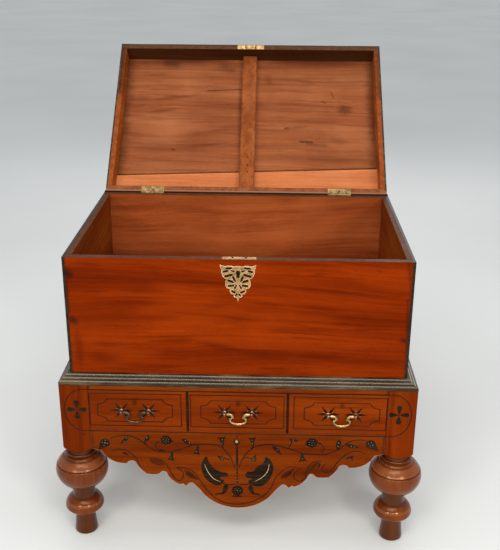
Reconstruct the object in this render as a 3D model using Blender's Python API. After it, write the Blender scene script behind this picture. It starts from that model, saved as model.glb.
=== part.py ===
"""Marriage chest: a boarded box with a hinged lid, on a stand with three drawers and turned legs.

Run in Blender 4.5. Metres, +Z up, front towards -Y. Pieces are drawn in chest coordinates:
x = 0 is the middle, y = 0 the front face of the box, z = 0 the floor, with the lid shut.
Empties carry them: the root shifts the whole to its origin, midway under its own bounding box,
and each moving body hangs on an empty that sits on its joint's axis. The lid rests open.
"""

import bpy
import bmesh
from math import acos, atan2, cos, hypot, pi, radians, sin, sqrt, tau
from mathutils import Matrix, Vector

# Clearances
GAP = 0.0003              # between pieces that touch
SLIDE_GAP = 0.0008        # beside a drawer front in its opening
DRAWER_TOP_GAP = 0.0012   # above a drawer front
LID_GAP = 0.0008          # between the two rims with the lid shut
KNUCKLE_GAP = 0.0004      # between a hinge knuckle and the wood it swings past
ARRIS = 0.0008            # bevel on the edges of the boards
PAST = 0.0100             # how far a cutter reaches past the face it leaves by

# Box
BOX_WIDTH = 0.920
BOX_DEPTH = 0.610
BOX_HEIGHT = 0.3612
BOX_WALL = 0.022
BOX_FLOOR = 0.015
BOX_EDGING = 0.007        # ebony strip let in along corners and end rims

# Lid
LID_OPEN_ANGLE = 137.0    # where it leans back, measured from shut
LID_SIDE_INSET = 0.0025
LID_FRONT_INSET = 0.002
LID_RAIL = 0.020
LID_RAIL_DEPTH = 0.061
LID_BOARD = 0.018
LID_EDGING = 0.005
LID_JOINT_FROM_BACK = 0.115   # where the two lid boards meet, at the middle
LID_JOINT_SLOPE = 0.043       # rise of that joint along the width
BATTEN_WIDTH = 0.050
BATTEN_DEPTH = 0.027

# Stand
OVERHANG = 0.0285         # stand past the box at the front and the sides
BLOCK = 0.079             # square of a leg above its turning
BLOCK_HEIGHT = 0.200
TOP_RAIL_HEIGHT = 0.0130
TOP_RAIL_DEPTH = 0.058
DRAWER_OPENING_HEIGHT = 0.126
APRON_DROP = 0.189        # from the foot of the blocks down to the apron's lowest point
APRON_THICKNESS = 0.024
SIDE_BOARD = 0.026
BACK_BOARD = 0.022
DIVIDER = 0.005
BEARER = 0.016
BEARER_RAIL = 0.060       # width of a bearer under two drawers, and of the front and back bearers
MOULDING_HEIGHT = 0.026
MOULDING_FASCIA = 0.0075
MOULDING_FILLET = 0.0030  # flat on top of the moulding, beside the box
REEDS = 3

# Turned part of a leg, from the floor up
FOOT_HEIGHT = 0.0710
FOOT_FLAT_RADIUS = 0.0285
FOOT_ROUNDING = 0.0045    # height of the rounded edge at the floor
FOOT_RADIUS = 0.0333
FOOT_NECK_RADIUS = 0.0277
BALL_LOWER = 0.0200       # from the foot up to the ball's widest place
BALL_UPPER = 0.0335
BALL_RADIUS = 0.0552
NECK_HEIGHT = 0.0335
NECK_RADIUS = 0.0330
BULB_LOWER = 0.0565
BULB_UPPER = 0.0520
BULB_RADIUS = 0.0745
BULB_STEP = 0.0012        # depth of the turned step above the bulb's widest place
COLLAR_RADIUS = 0.0450
COLLAR_HEIGHT = 0.0080
THROAT_RADIUS = 0.0360
THROAT_HEIGHT = 0.0245
SHOULDER_HEIGHT = 0.0140  # from the throat out to past the block's corners
LEG_SEGMENTS = 24

# Drawers
DRAWER_LENGTH = 0.450
DRAWER_FRONT = 0.020
DRAWER_SIDE = 0.010
DRAWER_SIDE_DROP = 0.006  # side and back below the top of the front
DRAWER_BOTTOM = 0.007
DRAWER_BOTTOM_RISE = 0.008
GROOVE = 0.004
LAP = 0.008               # drawer front past the end of a drawer side

# Drawer handles
HANDLE_SPAN = 0.075
HANDLE_RISE = 0.0015      # posts above the middle of the front
HANDLE_SHIFTS = (-0.007, 0.002, 0.011)   # to the right of the middle: they were set by eye
POST_REACH = 0.0105       # bail axis in front of the drawer
POST_BALL_RADIUS = 0.0052
POST_NECK_RADIUS = 0.0032
POST_COLLAR_RADIUS = 0.0066
POST_COLLAR = 0.0016
SHANK_RADIUS = 0.0025
RIVET_RADIUS = 0.0055
RIVET_HEIGHT = 0.0018
BAIL_PIN_RADIUS = 0.0020
BAIL_PIN_CLEARANCE = 0.0005
BAIL_DROP = 0.0365        # axis down to the middle of the grip
BAIL_ARM_RADIUS = 0.0046
BAIL_WAIST_RADIUS = 0.0027
BAIL_GRIP_RADIUS = 0.0038
BAIL_SIDES = 8

# Hinges
HINGE_LENGTH = 0.074
HINGE_INSET = 0.157       # from the box's end to the middle of a hinge
LEAF_WIDTH = 0.0180
LEAF = 0.0018
KNUCKLE_RADIUS = 0.0042
PIN_RADIUS = 0.0020
PIN_CLEARANCE = 0.0003
KNUCKLES = 5

# Lock
LOCK_X = 0.0025           # middle of the lock, a little right of the keyhole
LOCK_LENGTH = 0.089
LOCK_DROP = 0.055
LOCK_THICKNESS = 0.013
LOCK_PLATE = 0.0015
SELVEDGE = 0.0020
SELVEDGE_WIDTH = 0.0180
LINK_SPACING = 0.035
LINK_LENGTH = 0.0165      # how far the loops reach below the lid's rim
LINK_WIDTH = 0.0080
LINK_THICKNESS = 0.0040
LINK_EYE_RADIUS = 0.0028
LINK_SLOT_CLEARANCE = 0.0007
LINK_PLATE_LENGTH = 0.094
LINK_PLATE_WIDTH = 0.0175
LINK_PLATE = 0.0020
BOLT = 0.0032             # square of the bolt's prongs
BOLT_TRAVEL = 0.008
KEYHOLE_DROP = 0.036      # rim down to the key's axis
KEYHOLE_RADIUS = 0.0048
KEYHOLE_TAIL = 0.0150     # axis down to the foot of the keyhole
KEYHOLE_TAIL_WIDTH = 0.0052

# Escutcheon
ESCUTCHEON = 0.0015
ESCUTCHEON_DROP = 0.014   # rim down to its upper edge

# Places that follow from the sizes above
BALL_MIDDLE = FOOT_HEIGHT + BALL_LOWER
NECK_FOOT = BALL_MIDDLE + BALL_UPPER
BULB_FOOT = NECK_FOOT + NECK_HEIGHT
BULB_MIDDLE = BULB_FOOT + BULB_LOWER
COLLAR_FOOT = BULB_MIDDLE + BULB_UPPER
THROAT_FOOT = COLLAR_FOOT + COLLAR_HEIGHT
TURNING_HEIGHT = THROAT_FOOT + THROAT_HEIGHT
STAND_TOP = TURNING_HEIGHT + BLOCK_HEIGHT
STAND_HALF = BOX_WIDTH / 2 + OVERHANG
STAND_FRONT = -OVERHANG
BLOCK_INNER = STAND_HALF - BLOCK
BOX_BOTTOM = STAND_TOP + GAP
RIM = BOX_BOTTOM + BOX_HEIGHT
DRAWER_CEILING = STAND_TOP - TOP_RAIL_HEIGHT
DRAWER_FLOOR = DRAWER_CEILING - DRAWER_OPENING_HEIGHT
DRAWER_BAY = (2 * BLOCK_INNER - 2 * DIVIDER) / 3
DRAWER_FRONT_HEIGHT = DRAWER_OPENING_HEIGHT - GAP - DRAWER_TOP_GAP
DRAWER_BACK_Y = STAND_FRONT + DRAWER_LENGTH
DRAWER_NAMES = ("left", "centre", "right")
HANDLE_Z = DRAWER_FLOOR + GAP + DRAWER_FRONT_HEIGHT / 2 + HANDLE_RISE
HINGE_Y = BOX_DEPTH + KNUCKLE_RADIUS + KNUCKLE_GAP
HINGE_Z = RIM + LID_GAP / 2
LID_RIM = RIM + LID_GAP
LID_HALF = BOX_WIDTH / 2 - LID_SIDE_INSET
LID_UNDER = LID_RIM + LID_RAIL_DEPTH
LOCK_BACK_Y = BOX_WALL - GAP
LOCK_FRONT_Y = LOCK_BACK_Y - LOCK_THICKNESS
LINK_Y = (LOCK_FRONT_Y + LOCK_BACK_Y) / 2
EYE_Z = LID_RIM - LINK_LENGTH + LINK_WIDTH / 2


# Materials

def principled(name, colour, roughness, metallic=0.0):
    material = bpy.data.materials.new(name)
    material.diffuse_color = (*colour, 1.0)
    material.use_nodes = True
    shader = material.node_tree.nodes["Principled BSDF"]
    shader.inputs["Base Color"].default_value = (*colour, 1.0)
    shader.inputs["Roughness"].default_value = roughness
    shader.inputs["Metallic"].default_value = metallic
    return material


# Carriers: an empty on each joint's axis

class Carrier:
    """An empty that carries pieces, and the chest coordinates of its place with the lid shut."""

    def __init__(self, name, place, parent=None):
        self.place = Vector(place)
        self.empty = bpy.data.objects.new(name, None)
        self.empty.empty_display_size = 0.05
        bpy.context.scene.collection.objects.link(self.empty)
        if parent:
            self.empty.parent = parent.empty
            self.empty.location = self.place - parent.place


# Shapes, as bmeshes in chest coordinates

def box_shape(x, y, z):
    """A block between the two values given for each axis."""
    shape = bmesh.new()
    bmesh.ops.create_cube(shape, size=1.0)
    size = Vector((x[1] - x[0], y[1] - y[0], z[1] - z[0]))
    middle = Vector((x[0] + x[1], y[0] + y[1], z[0] + z[1])) / 2
    bmesh.ops.transform(shape, matrix=Matrix.Translation(middle) @ Matrix.Diagonal(size.to_4d()),
                        verts=shape.verts)
    return shape


def slab_shape(outline, axis, low, high, holes=()):
    """Extrude a flat outline, less its holes, along an axis. Its pairs lie on the other two axes."""
    def lifted(pair):
        coordinates = list(pair)
        coordinates.insert(axis, low)
        return coordinates

    shape = bmesh.new()
    edges = []
    for loop in (outline, *holes):
        corners = [shape.verts.new(lifted(pair)) for pair in loop]
        edges += [shape.edges.new((corners[i - 1], corners[i])) for i in range(len(corners))]
    bmesh.ops.triangle_fill(shape, use_beauty=True, use_dissolve=False, edges=edges)
    grown = bmesh.ops.extrude_face_region(shape, geom=shape.faces[:], use_keep_orig=True)
    moved = [piece for piece in grown["geom"] if isinstance(piece, bmesh.types.BMVert)]
    travel = Vector((0.0, 0.0, 0.0))
    travel[axis] = high - low
    bmesh.ops.translate(shape, verts=moved, vec=travel)
    bmesh.ops.recalc_face_normals(shape, faces=shape.faces)
    return shape


def turned_shape(profile, segments):
    """Spin pairs of radius and height about Z. The ends are closed by flat faces or points."""
    shape = bmesh.new()
    points = [shape.verts.new((radius, 0.0, height)) for radius, height in profile]
    line = [shape.edges.new(pair) for pair in zip(points, points[1:])]
    bmesh.ops.spin(shape, geom=points + line, cent=(0, 0, 0), axis=(0, 0, 1), angle=tau,
                   steps=segments, use_merge=True)
    bmesh.ops.remove_doubles(shape, verts=shape.verts, dist=1e-6)
    bmesh.ops.holes_fill(shape, edges=shape.edges, sides=0)
    bmesh.ops.recalc_face_normals(shape, faces=shape.faces)
    return shape


def rod_shape(start, axis, length, radius, segments):
    """A cylinder from a point along one axis."""
    shape = turned_shape([(radius, 0.0), (radius, length)], segments)
    turn = {0: Matrix.Rotation(pi / 2, 4, "Y"), 1: Matrix.Rotation(-pi / 2, 4, "X"), 2: Matrix()}[axis]
    bmesh.ops.transform(shape, matrix=Matrix.Translation(start) @ turn, verts=shape.verts)
    return shape


def swept_shape(sections, sides):
    """A round bar through centres with radii, in the plane x-z, its ends square to it."""
    shape = bmesh.new()
    rings = []
    centres = [Vector(centre) for centre, radius in sections]
    for index, (centre, radius) in enumerate(sections):
        before = centres[max(index - 1, 0)]
        after = centres[min(index + 1, len(sections) - 1)]
        ahead = (after - before).normalized()
        across = ahead.cross(Vector((0, 1, 0)))
        ring = []
        for side in range(sides):
            turn = tau * side / sides
            offset = across * cos(turn) + Vector((0, 1, 0)) * sin(turn)
            ring.append(shape.verts.new(Vector(centre) + offset * radius))
        rings.append(ring)
    for first, second in zip(rings, rings[1:]):
        for side in range(sides):
            shape.faces.new((first[side - 1], first[side], second[side], second[side - 1]))
    shape.faces.new(rings[0])
    shape.faces.new(rings[-1])
    bmesh.ops.recalc_face_normals(shape, faces=shape.faces)
    return shape


def arc(start, end, rise, steps):
    """Points after start, up to and with end, on an arc that leaves its chord by rise on its right."""
    if not rise:
        return [end]
    run = (end[0] - start[0], end[1] - start[1])
    chord = hypot(*run)
    radius = (chord ** 2 / 4 + rise ** 2) / (2 * abs(rise))
    half = atan2(chord / 2, radius - abs(rise))
    if rise < 0:
        half = -half
    right = (run[1] / chord, -run[0] / chord)
    depth = sqrt(max(radius ** 2 - chord ** 2 / 4, 0.0)) * (1 if rise > 0 else -1)
    if abs(rise) > chord / 2:
        depth = -depth
    middle = ((start[0] + end[0]) / 2 - right[0] * depth, (start[1] + end[1]) / 2 - right[1] * depth)
    turn = atan2(start[1] - middle[1], start[0] - middle[0])
    points = []
    for step in range(1, steps + 1):
        angle = turn + 2 * half * step / steps
        points.append((middle[0] + radius * cos(angle), middle[1] + radius * sin(angle)))
    points[-1] = end
    return points


def curved_outline(corners):
    """An outline from corners (x, y, rise, steps), each with the arc that leads on to the next."""
    points = []
    for index, (x, y, rise, steps) in enumerate(corners[:-1]):
        after = corners[index + 1]
        points += arc((x, y), (after[0], after[1]), rise, steps)
    return [(corners[0][0], corners[0][1])] + points


# Objects

def solid(name, shape, material, carrier, bevel=0.0, smooth=0.0):
    """Make an object of a shape, hung on its carrier."""
    bmesh.ops.translate(shape, verts=shape.verts, vec=-carrier.place)
    mesh = bpy.data.meshes.new(name)
    shape.to_mesh(mesh)
    shape.free()
    mesh.materials.append(material)
    if smooth:
        mesh.shade_smooth()
        mesh.set_sharp_from_angle(angle=radians(smooth))
    piece = bpy.data.objects.new(name, mesh)
    piece.parent = carrier.empty
    bpy.context.scene.collection.objects.link(piece)
    if bevel:
        edge = piece.modifiers.new("arris", "BEVEL")
        edge.width = bevel
        edge.segments = 1
        edge.limit_method = "ANGLE"
    return piece


def tool(name, shape, carrier):
    """A hidden shape that only cuts or joins."""
    bmesh.ops.translate(shape, verts=shape.verts, vec=-carrier.place)
    mesh = bpy.data.meshes.new(name)
    shape.to_mesh(mesh)
    shape.free()
    cutter = bpy.data.objects.new(name, mesh)
    cutter.parent = carrier.empty
    cutter.hide_render = True
    cutter.display_type = "WIRE"
    bpy.context.scene.collection.objects.link(cutter)
    return cutter


def apply_tools(piece, carrier, operation, shapes):
    """Cut, join or intersect a piece with each shape in turn."""
    for index, shape in enumerate(shapes):
        cutter = shape
        if isinstance(shape, bmesh.types.BMesh):
            cutter = tool(f"{operation.lower()}_{piece.name}_{index}", shape, carrier)
        step = piece.modifiers.new(f"{operation.lower()}_{index}", "BOOLEAN")
        step.operation = operation
        step.solver = "EXACT"
        step.object = cutter


def cut(piece, carrier, *shapes):
    apply_tools(piece, carrier, "DIFFERENCE", shapes)


def join(piece, carrier, *shapes):
    apply_tools(piece, carrier, "UNION", shapes)


def board(name, x, y, z, material, carrier):
    return solid(name, box_shape(x, y, z), material, carrier, bevel=ARRIS)


# Stand

def part_ellipse(end, middle, end_radius, radius, steps):
    """Points from an end height to the widest height, on an ellipse that has the end's radius there."""
    last = acos(end_radius / radius)
    reach = (end - middle) / sin(last)
    angles = [last * (1 - step / steps) for step in range(steps + 1)]
    return [(radius * cos(angle), middle + reach * sin(angle)) for angle in angles]


def bulb_upper_profile():
    """The bulb from its widest place up to the collar, with one turned step cut in it."""
    points = part_ellipse(COLLAR_FOOT, BULB_MIDDLE, THROAT_RADIUS, BULB_RADIUS, 5)[::-1]
    radius, height = points[2]
    step = [(radius - BULB_STEP, height), (radius - BULB_STEP, height + BULB_STEP)]
    above = [(radius - BULB_STEP, height) for radius, height in points[3:-1]]
    return points[1:3] + step + above + points[-1:]


def leg_profile():
    """Radius and height pairs of the turning, from the floor to past the top of the block."""
    past_corner = BLOCK / sqrt(2) + BULB_STEP
    points = [(0.0, 0.0), (FOOT_FLAT_RADIUS, 0.0)]
    points += arc(points[-1], (FOOT_RADIUS, FOOT_ROUNDING), (FOOT_RADIUS - FOOT_FLAT_RADIUS) / 4, 2)
    points += [(FOOT_NECK_RADIUS, FOOT_HEIGHT)]
    points += part_ellipse(FOOT_HEIGHT, BALL_MIDDLE, FOOT_NECK_RADIUS, BALL_RADIUS, 3)[1:]
    points += part_ellipse(NECK_FOOT, BALL_MIDDLE, NECK_RADIUS, BALL_RADIUS, 4)[-2::-1]
    points += [(NECK_RADIUS, BULB_FOOT)]
    points += part_ellipse(BULB_FOOT, BULB_MIDDLE, NECK_RADIUS, BULB_RADIUS, 5)[1:]
    points += bulb_upper_profile()
    points += arc(points[-1], (THROAT_RADIUS, THROAT_FOOT), COLLAR_RADIUS - THROAT_RADIUS, 3)
    points += [(THROAT_RADIUS, TURNING_HEIGHT - SHOULDER_HEIGHT)]
    points += [((THROAT_RADIUS + past_corner) / 2, TURNING_HEIGHT - SHOULDER_HEIGHT / 3),
               (past_corner, TURNING_HEIGHT + SHOULDER_HEIGHT / 3)]
    points += [(past_corner, STAND_TOP + PAST), (0.0, STAND_TOP + PAST)]
    return points


def leg_envelope():
    """Wide round the turning and square round the block, so that the shoulder is cut to the square."""
    wide = BULB_RADIUS + PAST
    narrow = BLOCK / 2
    step = TURNING_HEIGHT - SHOULDER_HEIGHT
    return [(-wide, -PAST), (wide, -PAST), (wide, step), (narrow, step),
            (narrow, STAND_TOP), (-narrow, STAND_TOP), (-narrow, step), (-wide, step)]


def make_legs(root, wood):
    front = STAND_FRONT + BLOCK / 2
    back = BOX_DEPTH - BLOCK / 2
    side = STAND_HALF - BLOCK / 2
    wide = BULB_RADIUS + PAST
    envelope = leg_envelope()
    for name, x, y in (("leg_front_left", -side, front), ("leg_front_right", side, front),
                       ("leg_back_left", -side, back), ("leg_back_right", side, back)):
        carrier = Carrier(f"axis_{name}", (x, y, 0.0), root)
        shape = turned_shape(leg_profile(), LEG_SEGMENTS)
        bmesh.ops.translate(shape, verts=shape.verts, vec=carrier.place)
        leg = solid(name, shape, wood, carrier, smooth=40)
        across = slab_shape([(x + u, z) for u, z in envelope], 1, y - wide, y + wide)
        along = slab_shape([(y + u, z) for u, z in envelope], 0, x - wide, x + wide)
        apply_tools(leg, carrier, "INTERSECT", [across, along])


def apron_outline():
    """The apron's shaped lower edge and square top, as x and z.

    The left half of the edge is drawn in metres, as corners with arcs, for the width and drop
    named first. The right half mirrors it, and the whole is stretched to the real width and drop.
    """
    drawn_half = 0.4092
    drawn_drop = 0.1890
    drawn = [(-drawn_half, 0.0, 0.0, 1), (-0.3830, -0.0060, 0.0130, 5), (-0.3120, -0.0465, 0.0, 1),
             (-0.3070, -0.0400, -0.0030, 3), (-0.2880, -0.0400, 0.0030, 3),
             (-0.2580, -0.0795, 0.0010, 2), (-0.2280, -0.0810, 0.0020, 2),
             (-0.2145, -0.0720, -0.0030, 3), (-0.2020, -0.0725, 0.0060, 4),
             (-0.1650, -0.1124, 0.0010, 2), (-0.1547, -0.1105, 0.0, 1), (-0.1457, -0.1180, 0.0, 1),
             (-0.1367, -0.1087, -0.0030, 3), (-0.1240, -0.1095, -0.0012, 2), (-0.0940, -0.1470, 0.0, 1)]
    left = curved_outline(drawn)
    bowl = arc(left[-1], (-left[-1][0], left[-1][1]), drawn_drop + left[-1][1], 14)
    right = [(-x, z) for x, z in left[:-1]]
    end = BLOCK_INNER - GAP
    wider = end / drawn_half
    deeper = APRON_DROP / drawn_drop
    edge = [(x * wider, TURNING_HEIGHT + z * deeper) for x, z in left + bowl + right[::-1]]
    return edge + [(end, DRAWER_FLOOR), (-end, DRAWER_FLOOR)]


def make_rails(root, wood):
    inner = BLOCK_INNER - GAP
    apron_back = STAND_FRONT + APRON_THICKNESS
    solid("apron_front", slab_shape(apron_outline(), 1, STAND_FRONT, apron_back), wood, root)
    board("rail_top_front", (-inner, inner), (STAND_FRONT, STAND_FRONT + TOP_RAIL_DEPTH),
          (DRAWER_CEILING, STAND_TOP), wood, root)
    board("rail_back", (-inner, inner), (BOX_DEPTH - BACK_BOARD, BOX_DEPTH),
          (TURNING_HEIGHT, STAND_TOP), wood, root)
    for name, way in (("rail_left", -1), ("rail_right", 1)):
        x = sorted((way * STAND_HALF, way * (STAND_HALF - SIDE_BOARD)))
        y = (STAND_FRONT + BLOCK + GAP, BOX_DEPTH - BLOCK - GAP)
        board(name, x, y, (TURNING_HEIGHT, STAND_TOP), wood, root)


def make_bearers(root, wood):
    """One frame under the drawers: front, back and four runners, with the dividers standing on it."""
    inner = BLOCK_INNER - GAP
    front = STAND_FRONT + APRON_THICKNESS + GAP
    back = BOX_DEPTH - BACK_BOARD - GAP
    holes = []
    for index in range(3):
        middle = (index - 1) * (DRAWER_BAY + DIVIDER)
        left = middle - DRAWER_BAY / 2 - DIVIDER / 2 + BEARER_RAIL / 2
        right = middle + DRAWER_BAY / 2 + DIVIDER / 2 - BEARER_RAIL / 2
        holes.append([(left, front + BEARER_RAIL), (right, front + BEARER_RAIL),
                      (right, back - BEARER_RAIL), (left, back - BEARER_RAIL)])
    outline = [(-inner, front), (inner, front), (inner, back), (-inner, back)]
    frame = slab_shape(outline, 2, DRAWER_FLOOR - BEARER, DRAWER_FLOOR, holes)
    solid("drawer_bearers", frame, wood, root)
    for name, way in (("divider_left", -1), ("divider_right", 1)):
        x = way * (DRAWER_BAY + DIVIDER) / 2
        board(name, (x - DIVIDER / 2, x + DIVIDER / 2), (STAND_FRONT, back),
              (DRAWER_FLOOR + GAP, DRAWER_CEILING - GAP), wood, root)


def moulding_profile():
    """Distance out from the box and height: a fascia, then reeds that step back and up."""
    low = STAND_TOP + GAP
    outline = [(GAP, low), (OVERHANG, low), (OVERHANG, low + MOULDING_FASCIA)]
    width = (OVERHANG - MOULDING_FILLET) / REEDS
    height = (MOULDING_HEIGHT - MOULDING_FASCIA) / REEDS
    quirk = width * 0.12
    for reed in range(REEDS):
        outer = OVERHANG - reed * width - quirk
        foot = low + MOULDING_FASCIA + reed * height
        inner = outer - width + quirk
        outline += [(outer, foot)]
        outline += arc((outer, foot), (inner, foot + height), width * 0.22, 4)
    outline += [(GAP, low + MOULDING_HEIGHT)]
    return outline


def make_moulding(root, ebony):
    """The reeded moulding round the foot of the box, mitred at the front corners."""
    half = BOX_WIDTH / 2
    profile = moulding_profile()
    shape = bmesh.new()
    rings = []
    for side, at_back in ((-1, True), (-1, False), (1, False), (1, True)):
        rings.append([shape.verts.new((side * (half + out), BOX_DEPTH if at_back else -out, height))
                      for out, height in profile])
    for first, second in zip(rings, rings[1:]):
        for index in range(len(profile)):
            shape.faces.new((first[index - 1], first[index], second[index], second[index - 1]))
    shape.faces.new(rings[0])
    shape.faces.new(rings[-1])
    bmesh.ops.recalc_face_normals(shape, faces=shape.faces)
    solid("moulding", shape, ebony, root)


# Box

def edging_outline(width):
    """A strip of this width up both corners of an end and along its rim, seen from the side."""
    return [(0.0, BOX_BOTTOM), (width, BOX_BOTTOM), (width, RIM - width), (BOX_DEPTH - width, RIM - width),
            (BOX_DEPTH - width, BOX_BOTTOM), (BOX_DEPTH, BOX_BOTTOM), (BOX_DEPTH, RIM), (0.0, RIM)]


def edging_rebate(side):
    """What the edging takes out of the boards, with its clearance, past their outer faces."""
    width = BOX_EDGING + GAP
    outline = [(-PAST, BOX_BOTTOM - PAST), (width, BOX_BOTTOM - PAST), (width, RIM - width),
               (BOX_DEPTH - width, RIM - width), (BOX_DEPTH - width, BOX_BOTTOM - PAST),
               (BOX_DEPTH + PAST, BOX_BOTTOM - PAST), (BOX_DEPTH + PAST, RIM + PAST), (-PAST, RIM + PAST)]
    x = sorted((side * (BOX_WIDTH / 2 + PAST), side * (BOX_WIDTH / 2 - width)))
    return slab_shape(outline, 0, *x)


def keyhole_outline():
    """A round top and a straight tail, as x and z."""
    middle = RIM - KEYHOLE_DROP
    half = KEYHOLE_TAIL_WIDTH / 2
    side = sqrt(KEYHOLE_RADIUS ** 2 - half ** 2)
    top = arc((half, middle - side), (-half, middle - side), KEYHOLE_RADIUS + side, 10)
    foot = middle - KEYHOLE_TAIL
    return [(half, middle - side)] + top + [(-half, foot), (half, foot)]


def hinge_places():
    middle = BOX_WIDTH / 2 - HINGE_INSET
    return (("left", -middle), ("right", middle))


def leaf_recess(x, low, high):
    half = HINGE_LENGTH / 2 + GAP
    return box_shape((x - half, x + half), (BOX_DEPTH - LEAF_WIDTH - GAP, BOX_DEPTH + PAST), (low, high))


def make_box(root, wood, ebony):
    half = BOX_WIDTH / 2
    inner = half - BOX_WALL
    z = (BOX_BOTTOM, RIM)
    rebates = [tool(f"rebate_{name}", edging_rebate(way), root)
               for name, way in (("left", -1), ("right", 1))]
    front = board("box_front", (-half, half), (0.0, BOX_WALL), z, wood, root)
    back = board("box_back", (-half, half), (BOX_DEPTH - BOX_WALL, BOX_DEPTH), z, wood, root)
    ends = []
    for name, way in (("box_left", -1), ("box_right", 1)):
        x = sorted((way * half, way * inner))
        ends.append(board(name, x, (BOX_WALL + GAP, BOX_DEPTH - BOX_WALL - GAP), z, wood, root))
    for piece in (front, back):
        cut(piece, root, *rebates)
    for end, rebate in zip(ends, rebates):
        cut(end, root, rebate)
    seat = BOX_WALL + GAP
    board("box_floor", (-inner + GAP, inner - GAP), (seat, BOX_DEPTH - seat),
          (BOX_BOTTOM, BOX_BOTTOM + BOX_FLOOR), wood, root)
    cut(back, root, *[leaf_recess(x, RIM - LEAF - GAP, RIM + PAST) for name, x in hinge_places()])
    lock_half = LOCK_LENGTH / 2 + GAP
    x = (LOCK_X - lock_half, LOCK_X + lock_half)
    mortice = [(LOCK_FRONT_Y - GAP, RIM - LOCK_DROP - GAP), (BOX_WALL + PAST, RIM - LOCK_DROP - GAP),
               (BOX_WALL + PAST, RIM + PAST), (LOCK_BACK_Y - SELVEDGE_WIDTH - GAP, RIM + PAST),
               (LOCK_BACK_Y - SELVEDGE_WIDTH - GAP, RIM - SELVEDGE - GAP),
               (LOCK_FRONT_Y - GAP, RIM - SELVEDGE - GAP)]
    keyhole = slab_shape(keyhole_outline(), 1, -PAST, BOX_WALL + PAST)
    cut(front, root, slab_shape(mortice, 0, *x), keyhole)
    for name, way in (("box_edging_left", -1), ("box_edging_right", 1)):
        x = sorted((way * half, way * (half - BOX_EDGING)))
        solid(name, slab_shape(edging_outline(BOX_EDGING), 0, *x), ebony, root)


# Lock

def make_lock(root, bolt_carrier, brass, steel):
    """A till lock let into the inside of the front: a case with a selvedge, and its sliding bolt."""
    x = (LOCK_X - LOCK_LENGTH / 2, LOCK_X + LOCK_LENGTH / 2)
    section = [(LOCK_FRONT_Y, RIM - LOCK_DROP), (LOCK_BACK_Y, RIM - LOCK_DROP), (LOCK_BACK_Y, RIM),
               (LOCK_BACK_Y - SELVEDGE_WIDTH, RIM), (LOCK_BACK_Y - SELVEDGE_WIDTH, RIM - SELVEDGE),
               (LOCK_FRONT_Y, RIM - SELVEDGE)]
    case = solid("lock_case", slab_shape(section, 0, *x), brass, root)
    hollow_y = (LOCK_FRONT_Y + LOCK_PLATE, LOCK_BACK_Y - LOCK_PLATE)
    hollow_z = (RIM - LOCK_DROP + LOCK_PLATE, RIM - SELVEDGE)
    hollow = box_shape((x[0] + LOCK_PLATE, x[1] - LOCK_PLATE), hollow_y, hollow_z)
    slots = []
    for way in (-1, 1):
        middle = LOCK_X + way * LINK_SPACING / 2
        wide = LINK_THICKNESS / 2 + LINK_SLOT_CLEARANCE
        deep = LINK_WIDTH / 2 + LINK_SLOT_CLEARANCE
        slots.append(box_shape((middle - wide, middle + wide), (LINK_Y - deep, LINK_Y + deep),
                               (hollow_z[1] - SELVEDGE, RIM + PAST)))
    keyhole = slab_shape(keyhole_outline(), 1, LOCK_FRONT_Y - PAST, hollow_y[0] + LOCK_PLATE)
    cut(case, root, hollow, *slots, keyhole)
    bolt = slab_shape(bolt_outline(hollow_z[0] + GAP), 1, LINK_Y - BOLT / 2, LINK_Y + BOLT / 2)
    solid("lock_bolt", bolt, steel, bolt_carrier)


def bolt_outline(floor):
    """The bolt seen from the front: a notched plate with two prongs that point to the right.

    The plate stands on the floor of the case, below the links. Drawn back, as here, each prong
    ends just left of its link's eye, and the key moves the notch to the right.
    """
    half = BOLT / 2
    tip = LOCK_X - LINK_SPACING / 2 - LINK_THICKNESS / 2 - BOLT_TRAVEL / 4
    heel = tip - BOLT_TRAVEL
    top = LID_RIM - LINK_LENGTH - GAP - BOLT
    notch = LOCK_X + BOLT_TRAVEL
    outline = [(heel - BOLT, floor), (notch - BOLT, floor), (notch - BOLT, floor + 2 * BOLT),
               (notch + BOLT, floor + 2 * BOLT), (notch + BOLT, floor), (tip + LINK_SPACING, floor),
               (tip + LINK_SPACING, top)]
    for shift in (LINK_SPACING, 0.0):
        outline += [(heel + shift, top), (heel + shift, EYE_Z - half), (tip + shift, EYE_Z - half),
                    (tip + shift, EYE_Z + half), (heel + shift - BOLT, EYE_Z + half),
                    (heel + shift - BOLT, top)]
    return outline


def ellipse_outline(x, z, width, height, tilt, steps):
    turn = radians(tilt)
    points = []
    for step in range(steps):
        angle = tau * step / steps
        u = width / 2 * cos(angle)
        v = height / 2 * sin(angle)
        points.append((x + u * cos(turn) - v * sin(turn), z + u * sin(turn) + v * cos(turn)))
    return points


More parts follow.
